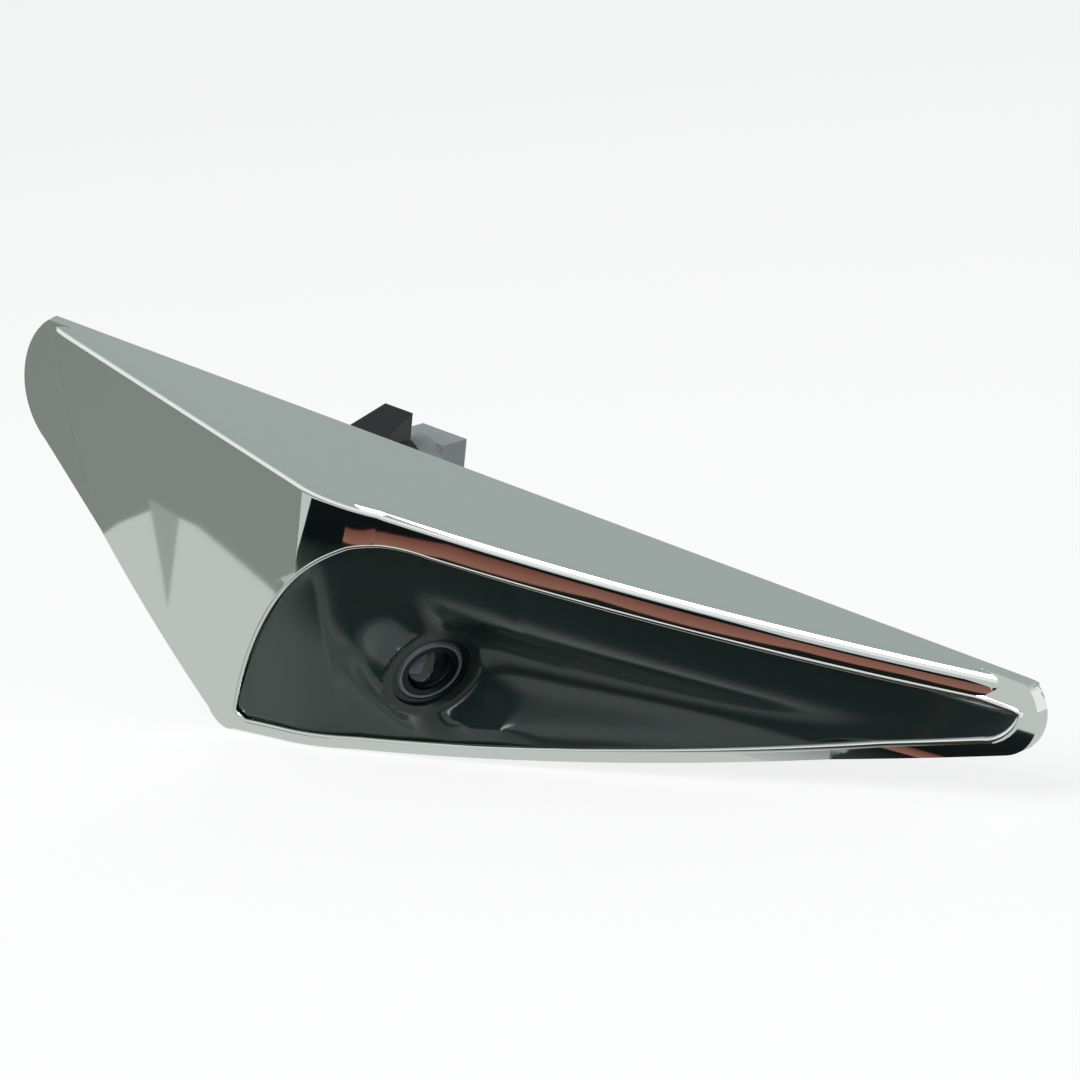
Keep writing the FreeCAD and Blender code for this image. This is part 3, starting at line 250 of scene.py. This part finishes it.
def arc_points(start, middle, end, count):
    """Points along the arc through three points, evenly spaced by angle."""
    (ax, ay), (bx, by), (cx, cy) = start, middle, end
    twist = 2 * (ax * (by - cy) + bx * (cy - ay) + cx * (ay - by))
    sa, sb, sc = ax * ax + ay * ay, bx * bx + by * by, cx * cx + cy * cy
    ox = (sa * (by - cy) + sb * (cy - ay) + sc * (ay - by)) / twist
    oy = (sa * (cx - bx) + sb * (ax - cx) + sc * (bx - ax)) / twist
    first, last = math.atan2(ay - oy, ax - ox), math.atan2(cy - oy, cx - ox)
    between = math.atan2(by - oy, bx - ox)
    turn = (last - first) % (2 * math.pi)
    if (between - first) % (2 * math.pi) > turn:
        turn -= 2 * math.pi
    radius = math.hypot(ax - ox, ay - oy)
    angles = [first + turn * i / (count - 1) for i in range(count)]
    return [(ox + radius * math.cos(a), oy + radius * math.sin(a)) for a in angles]


def front_line(start, nose, apex, turn, middle, end):
    """Plan of the front at one height: a straight run to the nose, the nose arc and the long tail arc."""
    run = [
        (start[0] + (nose[0] - start[0]) * i / 20, start[1] + (nose[1] - start[1]) * i / 20)
        for i in range(20)
    ]
    return np.array(run + arc_points(nose, apex, turn, 41) + arc_points(turn, middle, end, 121)[1:])


CREST = front_line((-12, -1.15), (60, 20.1), (66.2, 20.75), (72, 19.9), (112, 13.0), (154, -0.4))
FOOT = front_line((-12, -3.5), (45, 3.46), (51, 3.95), (57, 3.1), (112, -6.2), (154, -19.3))


def front_out(x, drop):
    """How far the front stands out from the panel plane."""
    share = drop / HEIGHT
    line = CREST * (1 - share) + FOOT * share
    return float(np.interp(x, line[:, 0], line[:, 1]))


def soft_max(a, b, blend):
    """Larger of two values, rounded over where they come within a blend of each other."""
    gap = max(blend - abs(a - b), 0.0) / blend
    return max(a, b) + gap * gap * blend / 4


def soft_min(a, b, blend):
    """Smaller of two values, rounded in the same way."""
    return -soft_max(-a, -b, blend)


# ------------------------------------------------------------------ gloss bezel with the camera pod
LENS = (73.3, 9.2, 22.5)
LOOK = Vector((0.883, 0.377, 0.279)).normalized()
POD_RADIUS = 7.6
SEAT_OUT = 1.95
SKIN_DEPTH = 0.55


def round_heights(x, drop, centre, axis, radius):
    """Lowest and highest reach of a round bar over a point of the panel, or None beside it."""
    dx, dh = x - centre[0], drop - centre[2]
    along = dx * axis[0] + dh * axis[2]
    a = 1 - axis[1] ** 2
    b = axis[1] * along
    room = b * b - a * (dx * dx + dh * dh - along * along - radius * radius)
    if room < 0:
        return None
    return centre[1] + (b - math.sqrt(room)) / a, centre[1] + (b + math.sqrt(room)) / a


SCOOP_END = (128.0, 4.5, 13.0)
SCOOP_START = (73.3, 10.2, 22.5)
SCOOP_AXIS = (Vector(SCOOP_END) - Vector(SCOOP_START)).normalized()
SCOOP_RADIUS, SCOOP_TAPER = 7.4, 6.0
SCOOP_NEAR = 66.0


def bezel_out(x, drop):
    """Front of the bezel: the housing's form, the pod round the lens and the scoop before it."""
    skin = soft_max(front_out(x, drop) - SKIN_DEPTH, SEAT_OUT, 0.4)
    share = min(max((x - SCOOP_START[0]) / (SCOOP_END[0] - SCOOP_START[0]), 0.0), 1.0)
    scoop = round_heights(x, drop, SCOOP_START, SCOOP_AXIS, SCOOP_RADIUS - SCOOP_TAPER * share)
    if scoop and SCOOP_NEAR < x < SCOOP_END[0]:
        skin = soft_min(skin, scoop[0], 3.2)
    pod = round_heights(x, drop, LENS, LOOK, POD_RADIUS)
    if pod:
        dx, dh = x - LENS[0], drop - LENS[2]
        face = LENS[1] - (dx * LOOK[0] + dh * LOOK[2]) / LOOK[1]
        skin = soft_max(skin, soft_min(pod[1], face, 1.6), 2.6)
    return skin


TOP_EDGE = np.array(
    arc_points((37.0, 41.4), (49.2, 21.0), (66.0, 7.0), 60)
    + arc_points((66.0, 7.0), (71.5, 5.1), (78.0, 4.6), 20)[1:]
    + [(149.0, 3.6)]
)
LOW_EDGE = np.array(
    [(37.0, 41.4), (39.0, 42.0)]
    + arc_points((39.0, 42.0), (91.5, 26.9), (144.8, 7.8), 80)[1:]
    + arc_points((144.8, 7.8), (147.6, 6.2), (149.0, 3.6), 8)[1:]
)


OPENING = [(x, drop) for x, drop in TOP_EDGE] + [(x, drop) for x, drop in LOW_EDGE[::-1]][1:-1]
EDGE_GAP = 0.15
RELAX_PASSES = 260
RING_RADIUS, RING_BLEND = 6.6, 1.2


def bezel_skin():
    """Front skin of the bezel as a grid of heights, denser round the lens."""
    steps = np.concatenate([
        37.2 + 20.8 * np.linspace(0, 1, 46) ** 1.5,
        np.linspace(58.0, 88.0, 121)[1:],
        np.linspace(88.0, 148.7, 96)[1:],
    ])
    rows = 96
    tops = np.interp(steps, TOP_EDGE[:, 0], TOP_EDGE[:, 1]) + EDGE_GAP
    lows = np.interp(steps, LOW_EDGE[:, 0], LOW_EDGE[:, 1]) - EDGE_GAP
    drops = tops + (lows - tops) * np.linspace(0, 1, rows)[:, None]
    outs = np.array([[bezel_out(float(x), float(d)) for x, d in zip(steps, row)] for row in drops])
    # the moulded form flows into the lens boss: relax it, but leave the flat ring round the lens alone
    away = np.stack([steps[None, :] - LENS[0] + 0 * drops, outs - LENS[1], drops - LENS[2]])
    look = np.array(LOOK)[:, None, None]
    beside = np.sqrt(np.maximum((away ** 2).sum(0) - (away * look).sum(0) ** 2, 0))
    ease = 0.5 * np.clip((beside - RING_RADIUS) / RING_BLEND, 0, 1)
    for _ in range(RELAX_PASSES):
        held = np.pad(outs, 1, mode="edge")
        mean = (held[:-2, 1:-1] + held[2:, 1:-1] + held[1:-1, :-2] + held[1:-1, 2:]) / 4
        outs[1:-1, 1:-1] += (ease * (mean - outs))[1:-1, 1:-1]
    bpy.ops.mesh.primitive_grid_add(x_subdivisions=len(steps) - 1, y_subdivisions=rows - 1, size=1.0)
    skin = bpy.context.object
    skin.name = "bezel_skin"
    columns = len(steps)
    for vertex in skin.data.vertices:
        i = round((vertex.co.x + 0.5) * (columns - 1))
        j = round((0.5 - vertex.co.y) * (rows - 1))
        vertex.co = spot(float(steps[i]), float(outs[j, i]), float(drops[j, i]))
    return skin


def apply_modifier(thing, kind, name, **settings):
    """Add a modifier with its settings and apply it."""
    bpy.context.view_layer.objects.active = thing
    modifier = thing.modifiers.new(name, kind)
    for key, value in settings.items():
        setattr(modifier, key, value)
    bpy.ops.object.modifier_apply(modifier=name)


def select_only(thing):
    """Make a piece the only one selected, and the active one."""
    bpy.ops.object.select_all(action="DESELECT")
    thing.select_set(True)
    bpy.context.view_layer.objects.active = thing


def lens_turn():
    """Turn that takes +Z to the lens axis in the row frame."""
    tip = spot(LENS[0] + LOOK[0], LENS[1] + LOOK[1], LENS[2] + LOOK[2]) - spot(*LENS)
    return tip.normalized().to_track_quat("Z", "X").to_euler()


def lens_bar(name, radius, front, back):
    """Round bar on the lens axis between two depths behind the pod's face."""
    middle = (front + back) / 2
    place = spot(LENS[0] - LOOK[0] * middle, LENS[1] - LOOK[1] * middle, LENS[2] - LOOK[2] * middle)
    bpy.ops.mesh.primitive_cylinder_add(
        vertices=96, radius=radius * MM, depth=(back - front) * MM, location=place, rotation=lens_turn()
    )
    bar = bpy.context.object
    bar.name = name
    bpy.ops.object.transform_apply(location=True, rotation=True, scale=True)
    return bar


bpy.ops.object.select_all(action="DESELECT")
bezel = bezel_skin()
if bezel.data.polygons[0].normal.y > 0:
    bezel.data.flip_normals()
apply_modifier(bezel, "SOLIDIFY", "wall", thickness=1.1 * MM, offset=-1.0)
bore = lens_bar("bore", 5.1, -6.0, 4.0)
apply_modifier(bezel, "BOOLEAN", "lens bore", operation="DIFFERENCE", object=bore, solver="EXACT")
bpy.data.objects.remove(bore)
select_only(bezel)
bpy.ops.object.shade_smooth_by_angle(angle=math.radians(38))
bezel.data.materials.append(gloss_black)
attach(bezel, "housing")
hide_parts("camera_bezel")

# ------------------------------------------------------------------ plated housing
OUTLINE = (
    [(149.3, 0.0)]
    + arc_points((149.3, 0.0), (151.4, 3.6), (148.2, 8.7), 16)[1:]
    + arc_points((148.2, 8.7), (92.0, 28.6), (36.0, 44.6), 60)[1:]
    + arc_points((36.0, 44.6), (33.3, 45.0), (31.2, 43.2), 8)[1:]
    + arc_points((-1.4, 16.4), (-6.0, 8.2), (-2.0, 0.0), 24)
)


def drawn_in(points, inset):
    """Closed outline moved inwards by an inset, corner by corner."""
    moved = []
    count = len(points)
    for i in range(count):
        before, here, after = (Vector(points[j % count]) for j in (i - 1, i, i + 1))
        run, next_run = (here - before).normalized(), (after - here).normalized()
        side = Vector((-run.y, run.x)) + Vector((-next_run.y, next_run.x))
        moved.append(tuple(here + side.normalized() * inset))
    return moved


def prism(name, points, near, far):
    """Solid between two distances from the panel, with an outline seen from outside."""
    bpy.ops.mesh.primitive_circle_add(vertices=len(points), radius=1.0, fill_type="NGON")
    solid = bpy.context.object
    solid.name = name
    for vertex, (x, drop) in zip(solid.data.vertices, points):
        vertex.co = spot(x, near, drop)
    bpy.ops.object.mode_set(mode="EDIT")
    bpy.ops.mesh.select_all(action="SELECT")
    bpy.ops.mesh.extrude_region_move(TRANSFORM_OT_translate={"value": (0.0, -(far - near) * MM, 0.0)})
    bpy.ops.mesh.select_all(action="SELECT")
    bpy.ops.mesh.normals_make_consistent(inside=False)
    bpy.ops.object.mode_set(mode="OBJECT")
    return solid


def wedge_section(crest, foot, back, low, radius):
    """One cross-section of the wedge: top, rounded crest, front and back, as a closed loop."""
    top = Vector((crest[0], crest[1], 0.0))
    foot_end = Vector((foot[0], foot[1], HEIGHT))
    rear = Vector((0.0, -1.0, 0.0))
    down = (foot_end - top).normalized()
    angle = rear.angle(down)
    reach = radius / math.tan(angle / 2)
    centre = top + (rear + down).normalized() * (radius / math.sin(angle / 2))
    first, last = top + rear * reach - centre, top + down * reach - centre
    loop = [Vector((crest[0], back, 0.0))]
    loop += [centre + first.slerp(last, i / 14).normalized() * radius for i in range(15)]
    stretch = (foot_end - top) * (low / HEIGHT)
    loop += [top + down * reach + (stretch - down * reach) * i / 16 for i in range(1, 17)]
    loop.append(Vector((top.x + stretch.x, back - 20.0, low)))
    return loop


WEDGE_BACK, WEDGE_LOW = -6.0, 46.0
CREST_ROUND = 1.2
WELD = 0.0000005


def wedge(name, lift, roof):
    """Solid wedge under the housing's top and front, moved by a lift and a roof thickness."""
    sections = [wedge_section(c, f, WEDGE_BACK, WEDGE_LOW, CREST_ROUND) for c, f in zip(CREST, FOOT)]
    rows, columns = len(sections), len(sections[0]) + 1
    bpy.ops.mesh.primitive_grid_add(x_subdivisions=rows - 1, y_subdivisions=columns - 1, size=1.0)
    solid = bpy.context.object
    solid.name = name
    for vertex in solid.data.vertices:
        i = round((vertex.co.x + 0.5) * (rows - 1))
        j = round((0.5 - vertex.co.y) * (columns - 1)) % (columns - 1)
        x, out, drop = sections[i][j]
        vertex.co = spot(x, out + lift, drop + roof)
    bpy.ops.object.mode_set(mode="EDIT")
    bpy.ops.mesh.select_all(action="SELECT")
    bpy.ops.mesh.remove_doubles(threshold=WELD)
    bpy.ops.mesh.select_all(action="SELECT")
    bpy.ops.mesh.fill_holes(sides=0)
    bpy.ops.mesh.select_all(action="SELECT")
    bpy.ops.mesh.normals_make_consistent(inside=False)
    bpy.ops.object.mode_set(mode="OBJECT")
    return solid


def combine(thing, operation, tool):
    """Join, trim or cut a piece with another, which is used up."""
    apply_modifier(thing, "BOOLEAN", "with " + tool.name, operation=operation, object=tool, solver="EXACT")
    bpy.data.objects.remove(tool)


WALL = 2.0
FRONT_WALL = 2.3
BEYOND = 30.0
raised = [(x, drop if drop > 0.001 else -2.0) for x, drop in OUTLINE]
plated = wedge("plated_housing", 0.0, 0.0)
combine(plated, "INTERSECT", prism("side walls", raised, 0.0, BEYOND))
combine(plated, "UNION", prism("rim", [(x, max(drop, 0.02)) for x, drop in OUTLINE], 0.0, WALL))
room = wedge("room", -FRONT_WALL, WALL)
combine(room, "INTERSECT", prism("room walls", drawn_in(OUTLINE, WALL), -3.0, BEYOND))
combine(plated, "DIFFERENCE", room)
combine(plated, "DIFFERENCE", prism("opening", OPENING, WALL, BEYOND))
POCKET_X = 124.0
tail = [(POCKET_X, float(np.interp(POCKET_X, TOP_EDGE[:, 0], TOP_EDGE[:, 1])))]
tail += [point for point in OPENING if point[0] > POCKET_X]
tail.append((POCKET_X, float(np.interp(POCKET_X, LOW_EDGE[:, 0], LOW_EDGE[:, 1]))))
combine(plated, "DIFFERENCE", prism("tail pocket", tail, 0.6, BEYOND))


def opening_lip():
    """Rounded lip of the plated shell round the opening, wider towards the tail."""
    loop = [Vector(point) for point in OPENING]
    dense = []
    for here, after in zip(loop, loop[1:] + loop[:1]):
        pieces = max(int((after - here).length / 0.8), 1)
        dense += [here.lerp(after, i / pieces) for i in range(pieces)]
    sides = 14
    bpy.ops.mesh.primitive_torus_add(major_segments=len(dense), minor_segments=sides)
    lip = bpy.context.object
    lip.name = "opening lip"
    count = len(dense)
    for i, here in enumerate(dense):
        run = (dense[(i + 1) % count] - dense[i - 1]).normalized()
        away = Vector((run.y, -run.x))
        radius = 0.28 + 0.26 * min(max((here.x - 60.0) / 85.0, 0.0), 1.0)
        level = max(front_out(here.x, here.y), SEAT_OUT)
        for j in range(sides):
            turn = 2 * math.pi * j / sides
            side = here + away * (radius * 0.5 + radius * math.cos(turn))
            out = level - radius * 0.55 + radius * math.sin(turn)
            lip.data.vertices[i * sides + j].co = spot(side.x, out, side.y)
    bpy.ops.object.mode_set(mode="EDIT")
    bpy.ops.mesh.select_all(action="SELECT")
    bpy.ops.mesh.normals_make_consistent(inside=False)
    bpy.ops.object.mode_set(mode="OBJECT")
    return lip


select_only(plated)
bpy.ops.object.shade_smooth_by_angle(angle=math.radians(28))
apply_modifier(plated, "WEIGHTED_NORMAL", "even shading", keep_sharp=True, weight=60)
lip = opening_lip()
select_only(lip)
bpy.ops.object.shade_smooth()
plated.select_set(True)
bpy.context.view_layer.objects.active = plated
bpy.ops.object.join()
plated.data.materials.clear()
plated.data.materials.append(chrome_plate)
for face in plated.data.polygons:
    face.material_index = 0
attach(plated, "housing")
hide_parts("chrome_housing")

# ------------------------------------------------------------------ pieces with broken edges


def broken_edges(node_name, body, width):
    """Copy of a piece's solid with its sharp edges broken, as moulding or turning leaves them."""
    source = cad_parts[node_name]
    thing = bpy.data.objects.new(node_name + "_dressed", source.data.copy())
    scene.collection.objects.link(thing)
    thing.matrix_world = source.matrix_world
    select_only(thing)
    bpy.ops.object.transform_apply(location=True, rotation=True, scale=True)
    bpy.ops.object.mode_set(mode="EDIT")
    bpy.ops.mesh.select_all(action="SELECT")
    bpy.ops.mesh.remove_doubles(threshold=0.000001)
    bpy.ops.mesh.dissolve_limited(angle_limit=math.radians(0.5))
    bpy.ops.mesh.customdata_custom_splitnormals_clear()
    bpy.ops.object.mode_set(mode="OBJECT")
    apply_modifier(
        thing, "BEVEL", "broken edges",
        width=width * MM, segments=2, limit_method="ANGLE", angle_limit=math.radians(50)
    )
    bpy.ops.object.shade_smooth_by_angle(angle=math.radians(40))
    apply_modifier(thing, "WEIGHTED_NORMAL", "even shading", keep_sharp=True, weight=60)
    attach(thing, body)
    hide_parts(node_name)


for node_name, body, slot, width in (
    ("connector_housing", "housing", "connector_grey", 0.3),
    ("connector_lock", "lock", "lock_black", 0.25),
    ("neck_cover", "housing", "cover_plastic", 0.3),
    ("base_plate", "housing", "base_plastic", 0.25),
):
    broken_edges(node_name, body, width)

# ------------------------------------------------------------------ floor, light and camera
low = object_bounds()[0].z

bpy.ops.mesh.primitive_plane_add(size=6.0, location=(0.0, 0.0, low - 0.0002))
floor = bpy.context.object
floor.name = "floor"
paper = bpy.data.materials.new("White paper sweep")
tree = empty_tree(paper)
matt = add_node(tree, "ShaderNodeBsdfDiffuse", {"Color": linear("f4f4f4")})
bright = add_node(tree, "ShaderNodeEmission", {"Color": linear("ffffff"), "Strength": 1.0})
seen = add_node(tree, "ShaderNodeLightPath")
part_seen = add_node(
    tree, "ShaderNodeMath", {"operation": "MULTIPLY", 1: 0.8}, {0: seen.outputs["Is Camera Ray"]}
)
sweep = add_node(
    tree,
    "ShaderNodeMixShader",
    None,
    {0: part_seen.outputs["Value"], 1: matt.outputs["BSDF"], 2: bright.outputs["Emission"]},
)
add_node(tree, "ShaderNodeOutputMaterial", None, {"Surface": sweep.outputs["Shader"]})
floor.data.materials.append(paper)

world = bpy.data.worlds.new("studio")
scene.world = world
tree = empty_tree(world)
direction = add_node(tree, "ShaderNodeTexCoord")
height = add_node(tree, "ShaderNodeSeparateXYZ", None, {"Vector": direction.outputs["Generated"]})
sky = add_node(tree, "ShaderNodeValToRGB", None, {"Fac": height.outputs["Z"]})
sky.color_ramp.elements[0].position = 0.30
sky.color_ramp.elements[0].color = linear("f2f4f3")
sky.color_ramp.elements[1].position = 0.46
sky.color_ramp.elements[1].color = linear("a5aeab")
rays = add_node(tree, "ShaderNodeLightPath")
plain = add_node(tree, "ShaderNodeMix", {"data_type": "RGBA"})
tree.links.new(rays.outputs["Is Camera Ray"], plain.inputs[0])
tree.links.new(sky.outputs["Color"], plain.inputs[6])
plain.inputs[7].default_value = linear("ffffff")
light = add_node(tree, "ShaderNodeBackground", {"Strength": 1.0}, {"Color": plain.outputs[2]})
add_node(tree, "ShaderNodeOutputWorld", None, {"Surface": light.outputs["Background"]})


def lamp(name, place, target, size, power):
    """Soft square lamp that faces a point."""
    data = bpy.data.lights.new(name, "AREA")
    data.size = size
    data.energy = power
    thing = bpy.data.objects.new(name, data)
    scene.collection.objects.link(thing)
    thing.location = place
    thing.rotation_euler = (Vector(target) - Vector(place)).to_track_quat("-Z", "Y").to_euler()


def card(name, stops, near, far, height=0.0):
    """Painted reflection: glowing strip only reflections see, between two floor edges, coloured near to far."""
    bpy.ops.mesh.primitive_grid_add(x_subdivisions=len(near) - 1, y_subdivisions=1, size=1.0)
    thing = bpy.context.object
    thing.name = name
    for vertex in thing.data.vertices:
        edge = near if vertex.co.y < 0 else far
        x, y = edge[round((vertex.co.x + 0.5) * (len(near) - 1))]
        vertex.co = (x * MM, y * MM, low + height * MM)
    board = bpy.data.materials.new(name)
    tree = empty_tree(board)
    place = add_node(tree, "ShaderNodeTexCoord")
    across = add_node(tree, "ShaderNodeSeparateXYZ", None, {"Vector": place.outputs["UV"]})
    shade = add_node(tree, "ShaderNodeValToRGB", None, {"Fac": across.outputs["Y"]})
    for i, (position, code) in enumerate(stops):
        element = shade.color_ramp.elements[i] if i < 2 else shade.color_ramp.elements.new(position)
        element.position = position
        element.color = linear(code)
    glow = add_node(tree, "ShaderNodeEmission", {"Strength": 1.0}, {"Color": shade.outputs["Color"]})
    add_node(tree, "ShaderNodeOutputMaterial", None, {"Surface": glow.outputs["Emission"]})
    thing.data.materials.append(board)
    thing.visible_camera = False
    thing.visible_diffuse = False
    thing.visible_shadow = False
    thing.visible_transmission = False


# Painted reflections in millimetres: glowing strips, seen only in reflections, for the room that the plating
# mirrors.
# Far below the floor, which reflections pass through, lie painted strips for a pale ground, a grey-toned mat with
# a long edge and a stand's leg; on the floor before the tail lie a painted shaded band, a dark, painted table and
# its brown edge.
floor.visible_glossy = False
# Painted reflection of a pale, even ground far below the floor.
card(
    "painted ground reflection", [(0.0, "c6ccc7"), (1.0, "c6ccc7")],
    [(-12000, 4000), (4000, 4000)], [(-12000, -12000), (4000, -12000)], -1010,
)
# Edges of the painted reflection of a grey-toned mat.
MAT_REFLECTION_EDGE = [
    (-4200, -12000), (-4200, -4660), (-4100, -2500), (-3900, -900), (-3730, -655), (-3330, -495),
    (-2950, -386), (-2650, -296), (-2300, -230), (-1500, -160), (-900, -60),
]
MAT_REFLECTION_FAR = [
    (-20000, -12000), (-20000, -4660), (-20000, -2500), (-20000, -900), (-20000, 3000), (-12000, 3000),
    (-7000, 3000), (-5000, 3000), (-4000, 3000), (-2000, 3000), (-900, 3000),
]
# Painted reflection of a grey-toned mat.
card("painted mat reflection", [(0.0, "868c87"), (1.0, "7f8682")], MAT_REFLECTION_EDGE, MAT_REFLECTION_FAR, -1000)
# Painted reflection of a stand's leg.
card(
    "painted leg reflection", [(0.0, "9da49e"), (1.0, "9da49e")],
    [(-3850, -690), (-2850, -684)], [(-3480, -560), (-2850, -680)], -990,
)
# Edges of the painted reflections before the tail, seen in the gloss bezel and the chrome band.
SHADE_REFLECTION_EDGE = [
    (-30, -20), (-22, -20), (-8, -20), (14, -20), (36, -19),
    (65, -14), (82, -9), (97, -4), (111, 0), (122, 3),
]
BROWN_REFLECTION_EDGE = [
    (-30, -29), (-22, -31), (-8, -34), (14, -36), (36, -34),
    (65, -28.2), (82, -23.2), (97, -18.8), (111, -13.6), (122, -8.8),
]
DARK_REFLECTION_END = [(x, y - 50) for x, y in BROWN_REFLECTION_EDGE[:7]] + [(97, -36), (111, -30), (122, -25)]
# Painted reflection of shade near the object: light grey at the near edge, near black from about halfway on.
card("painted shade reflection", [(0.0, "b8bebb"), (0.45, "39423f"), (1.0, "141919")], SHADE_REFLECTION_EDGE, BROWN_REFLECTION_EDGE, 0.5)
# Painted reflection of a dark table.
card("painted dark-table reflection", [(0.0, "0f1313"), (1.0, "1a1f1f")], BROWN_REFLECTION_EDGE, DARK_REFLECTION_END, 0.5)
# Painted reflection of the table's brown edge, a warm streak in the chrome band.
BROWN_REFLECTION_END = [(x, y - 2.2) for x, y in BROWN_REFLECTION_EDGE[3:]]
card("painted table-edge reflection", [(0.0, "94685a"), (1.0, "6d4034")], BROWN_REFLECTION_EDGE[3:], BROWN_REFLECTION_END, 0.7)

lamp("key lamp", (0.1, -0.9, 0.9), (0.0, 0.0, 0.0), 0.8, 12.0)

camera_data = bpy.data.cameras.new("camera")
camera_data.sensor_width = 36.0
camera_data.lens = 126.43
camera = bpy.data.objects.new("camera", camera_data)
scene.collection.objects.link(camera)
camera.matrix_world = Matrix((
    (0.76427268, -0.04030471, 0.6436325, 0.35076),
    (0.63627629, 0.20973546, -0.74240388, -0.33417),
    (-0.10507018, 0.9769271, 0.18594002, 0.07731),
    (0, 0, 0, 1),
))
scene.camera = camera

scene.view_settings.view_transform = "Standard"
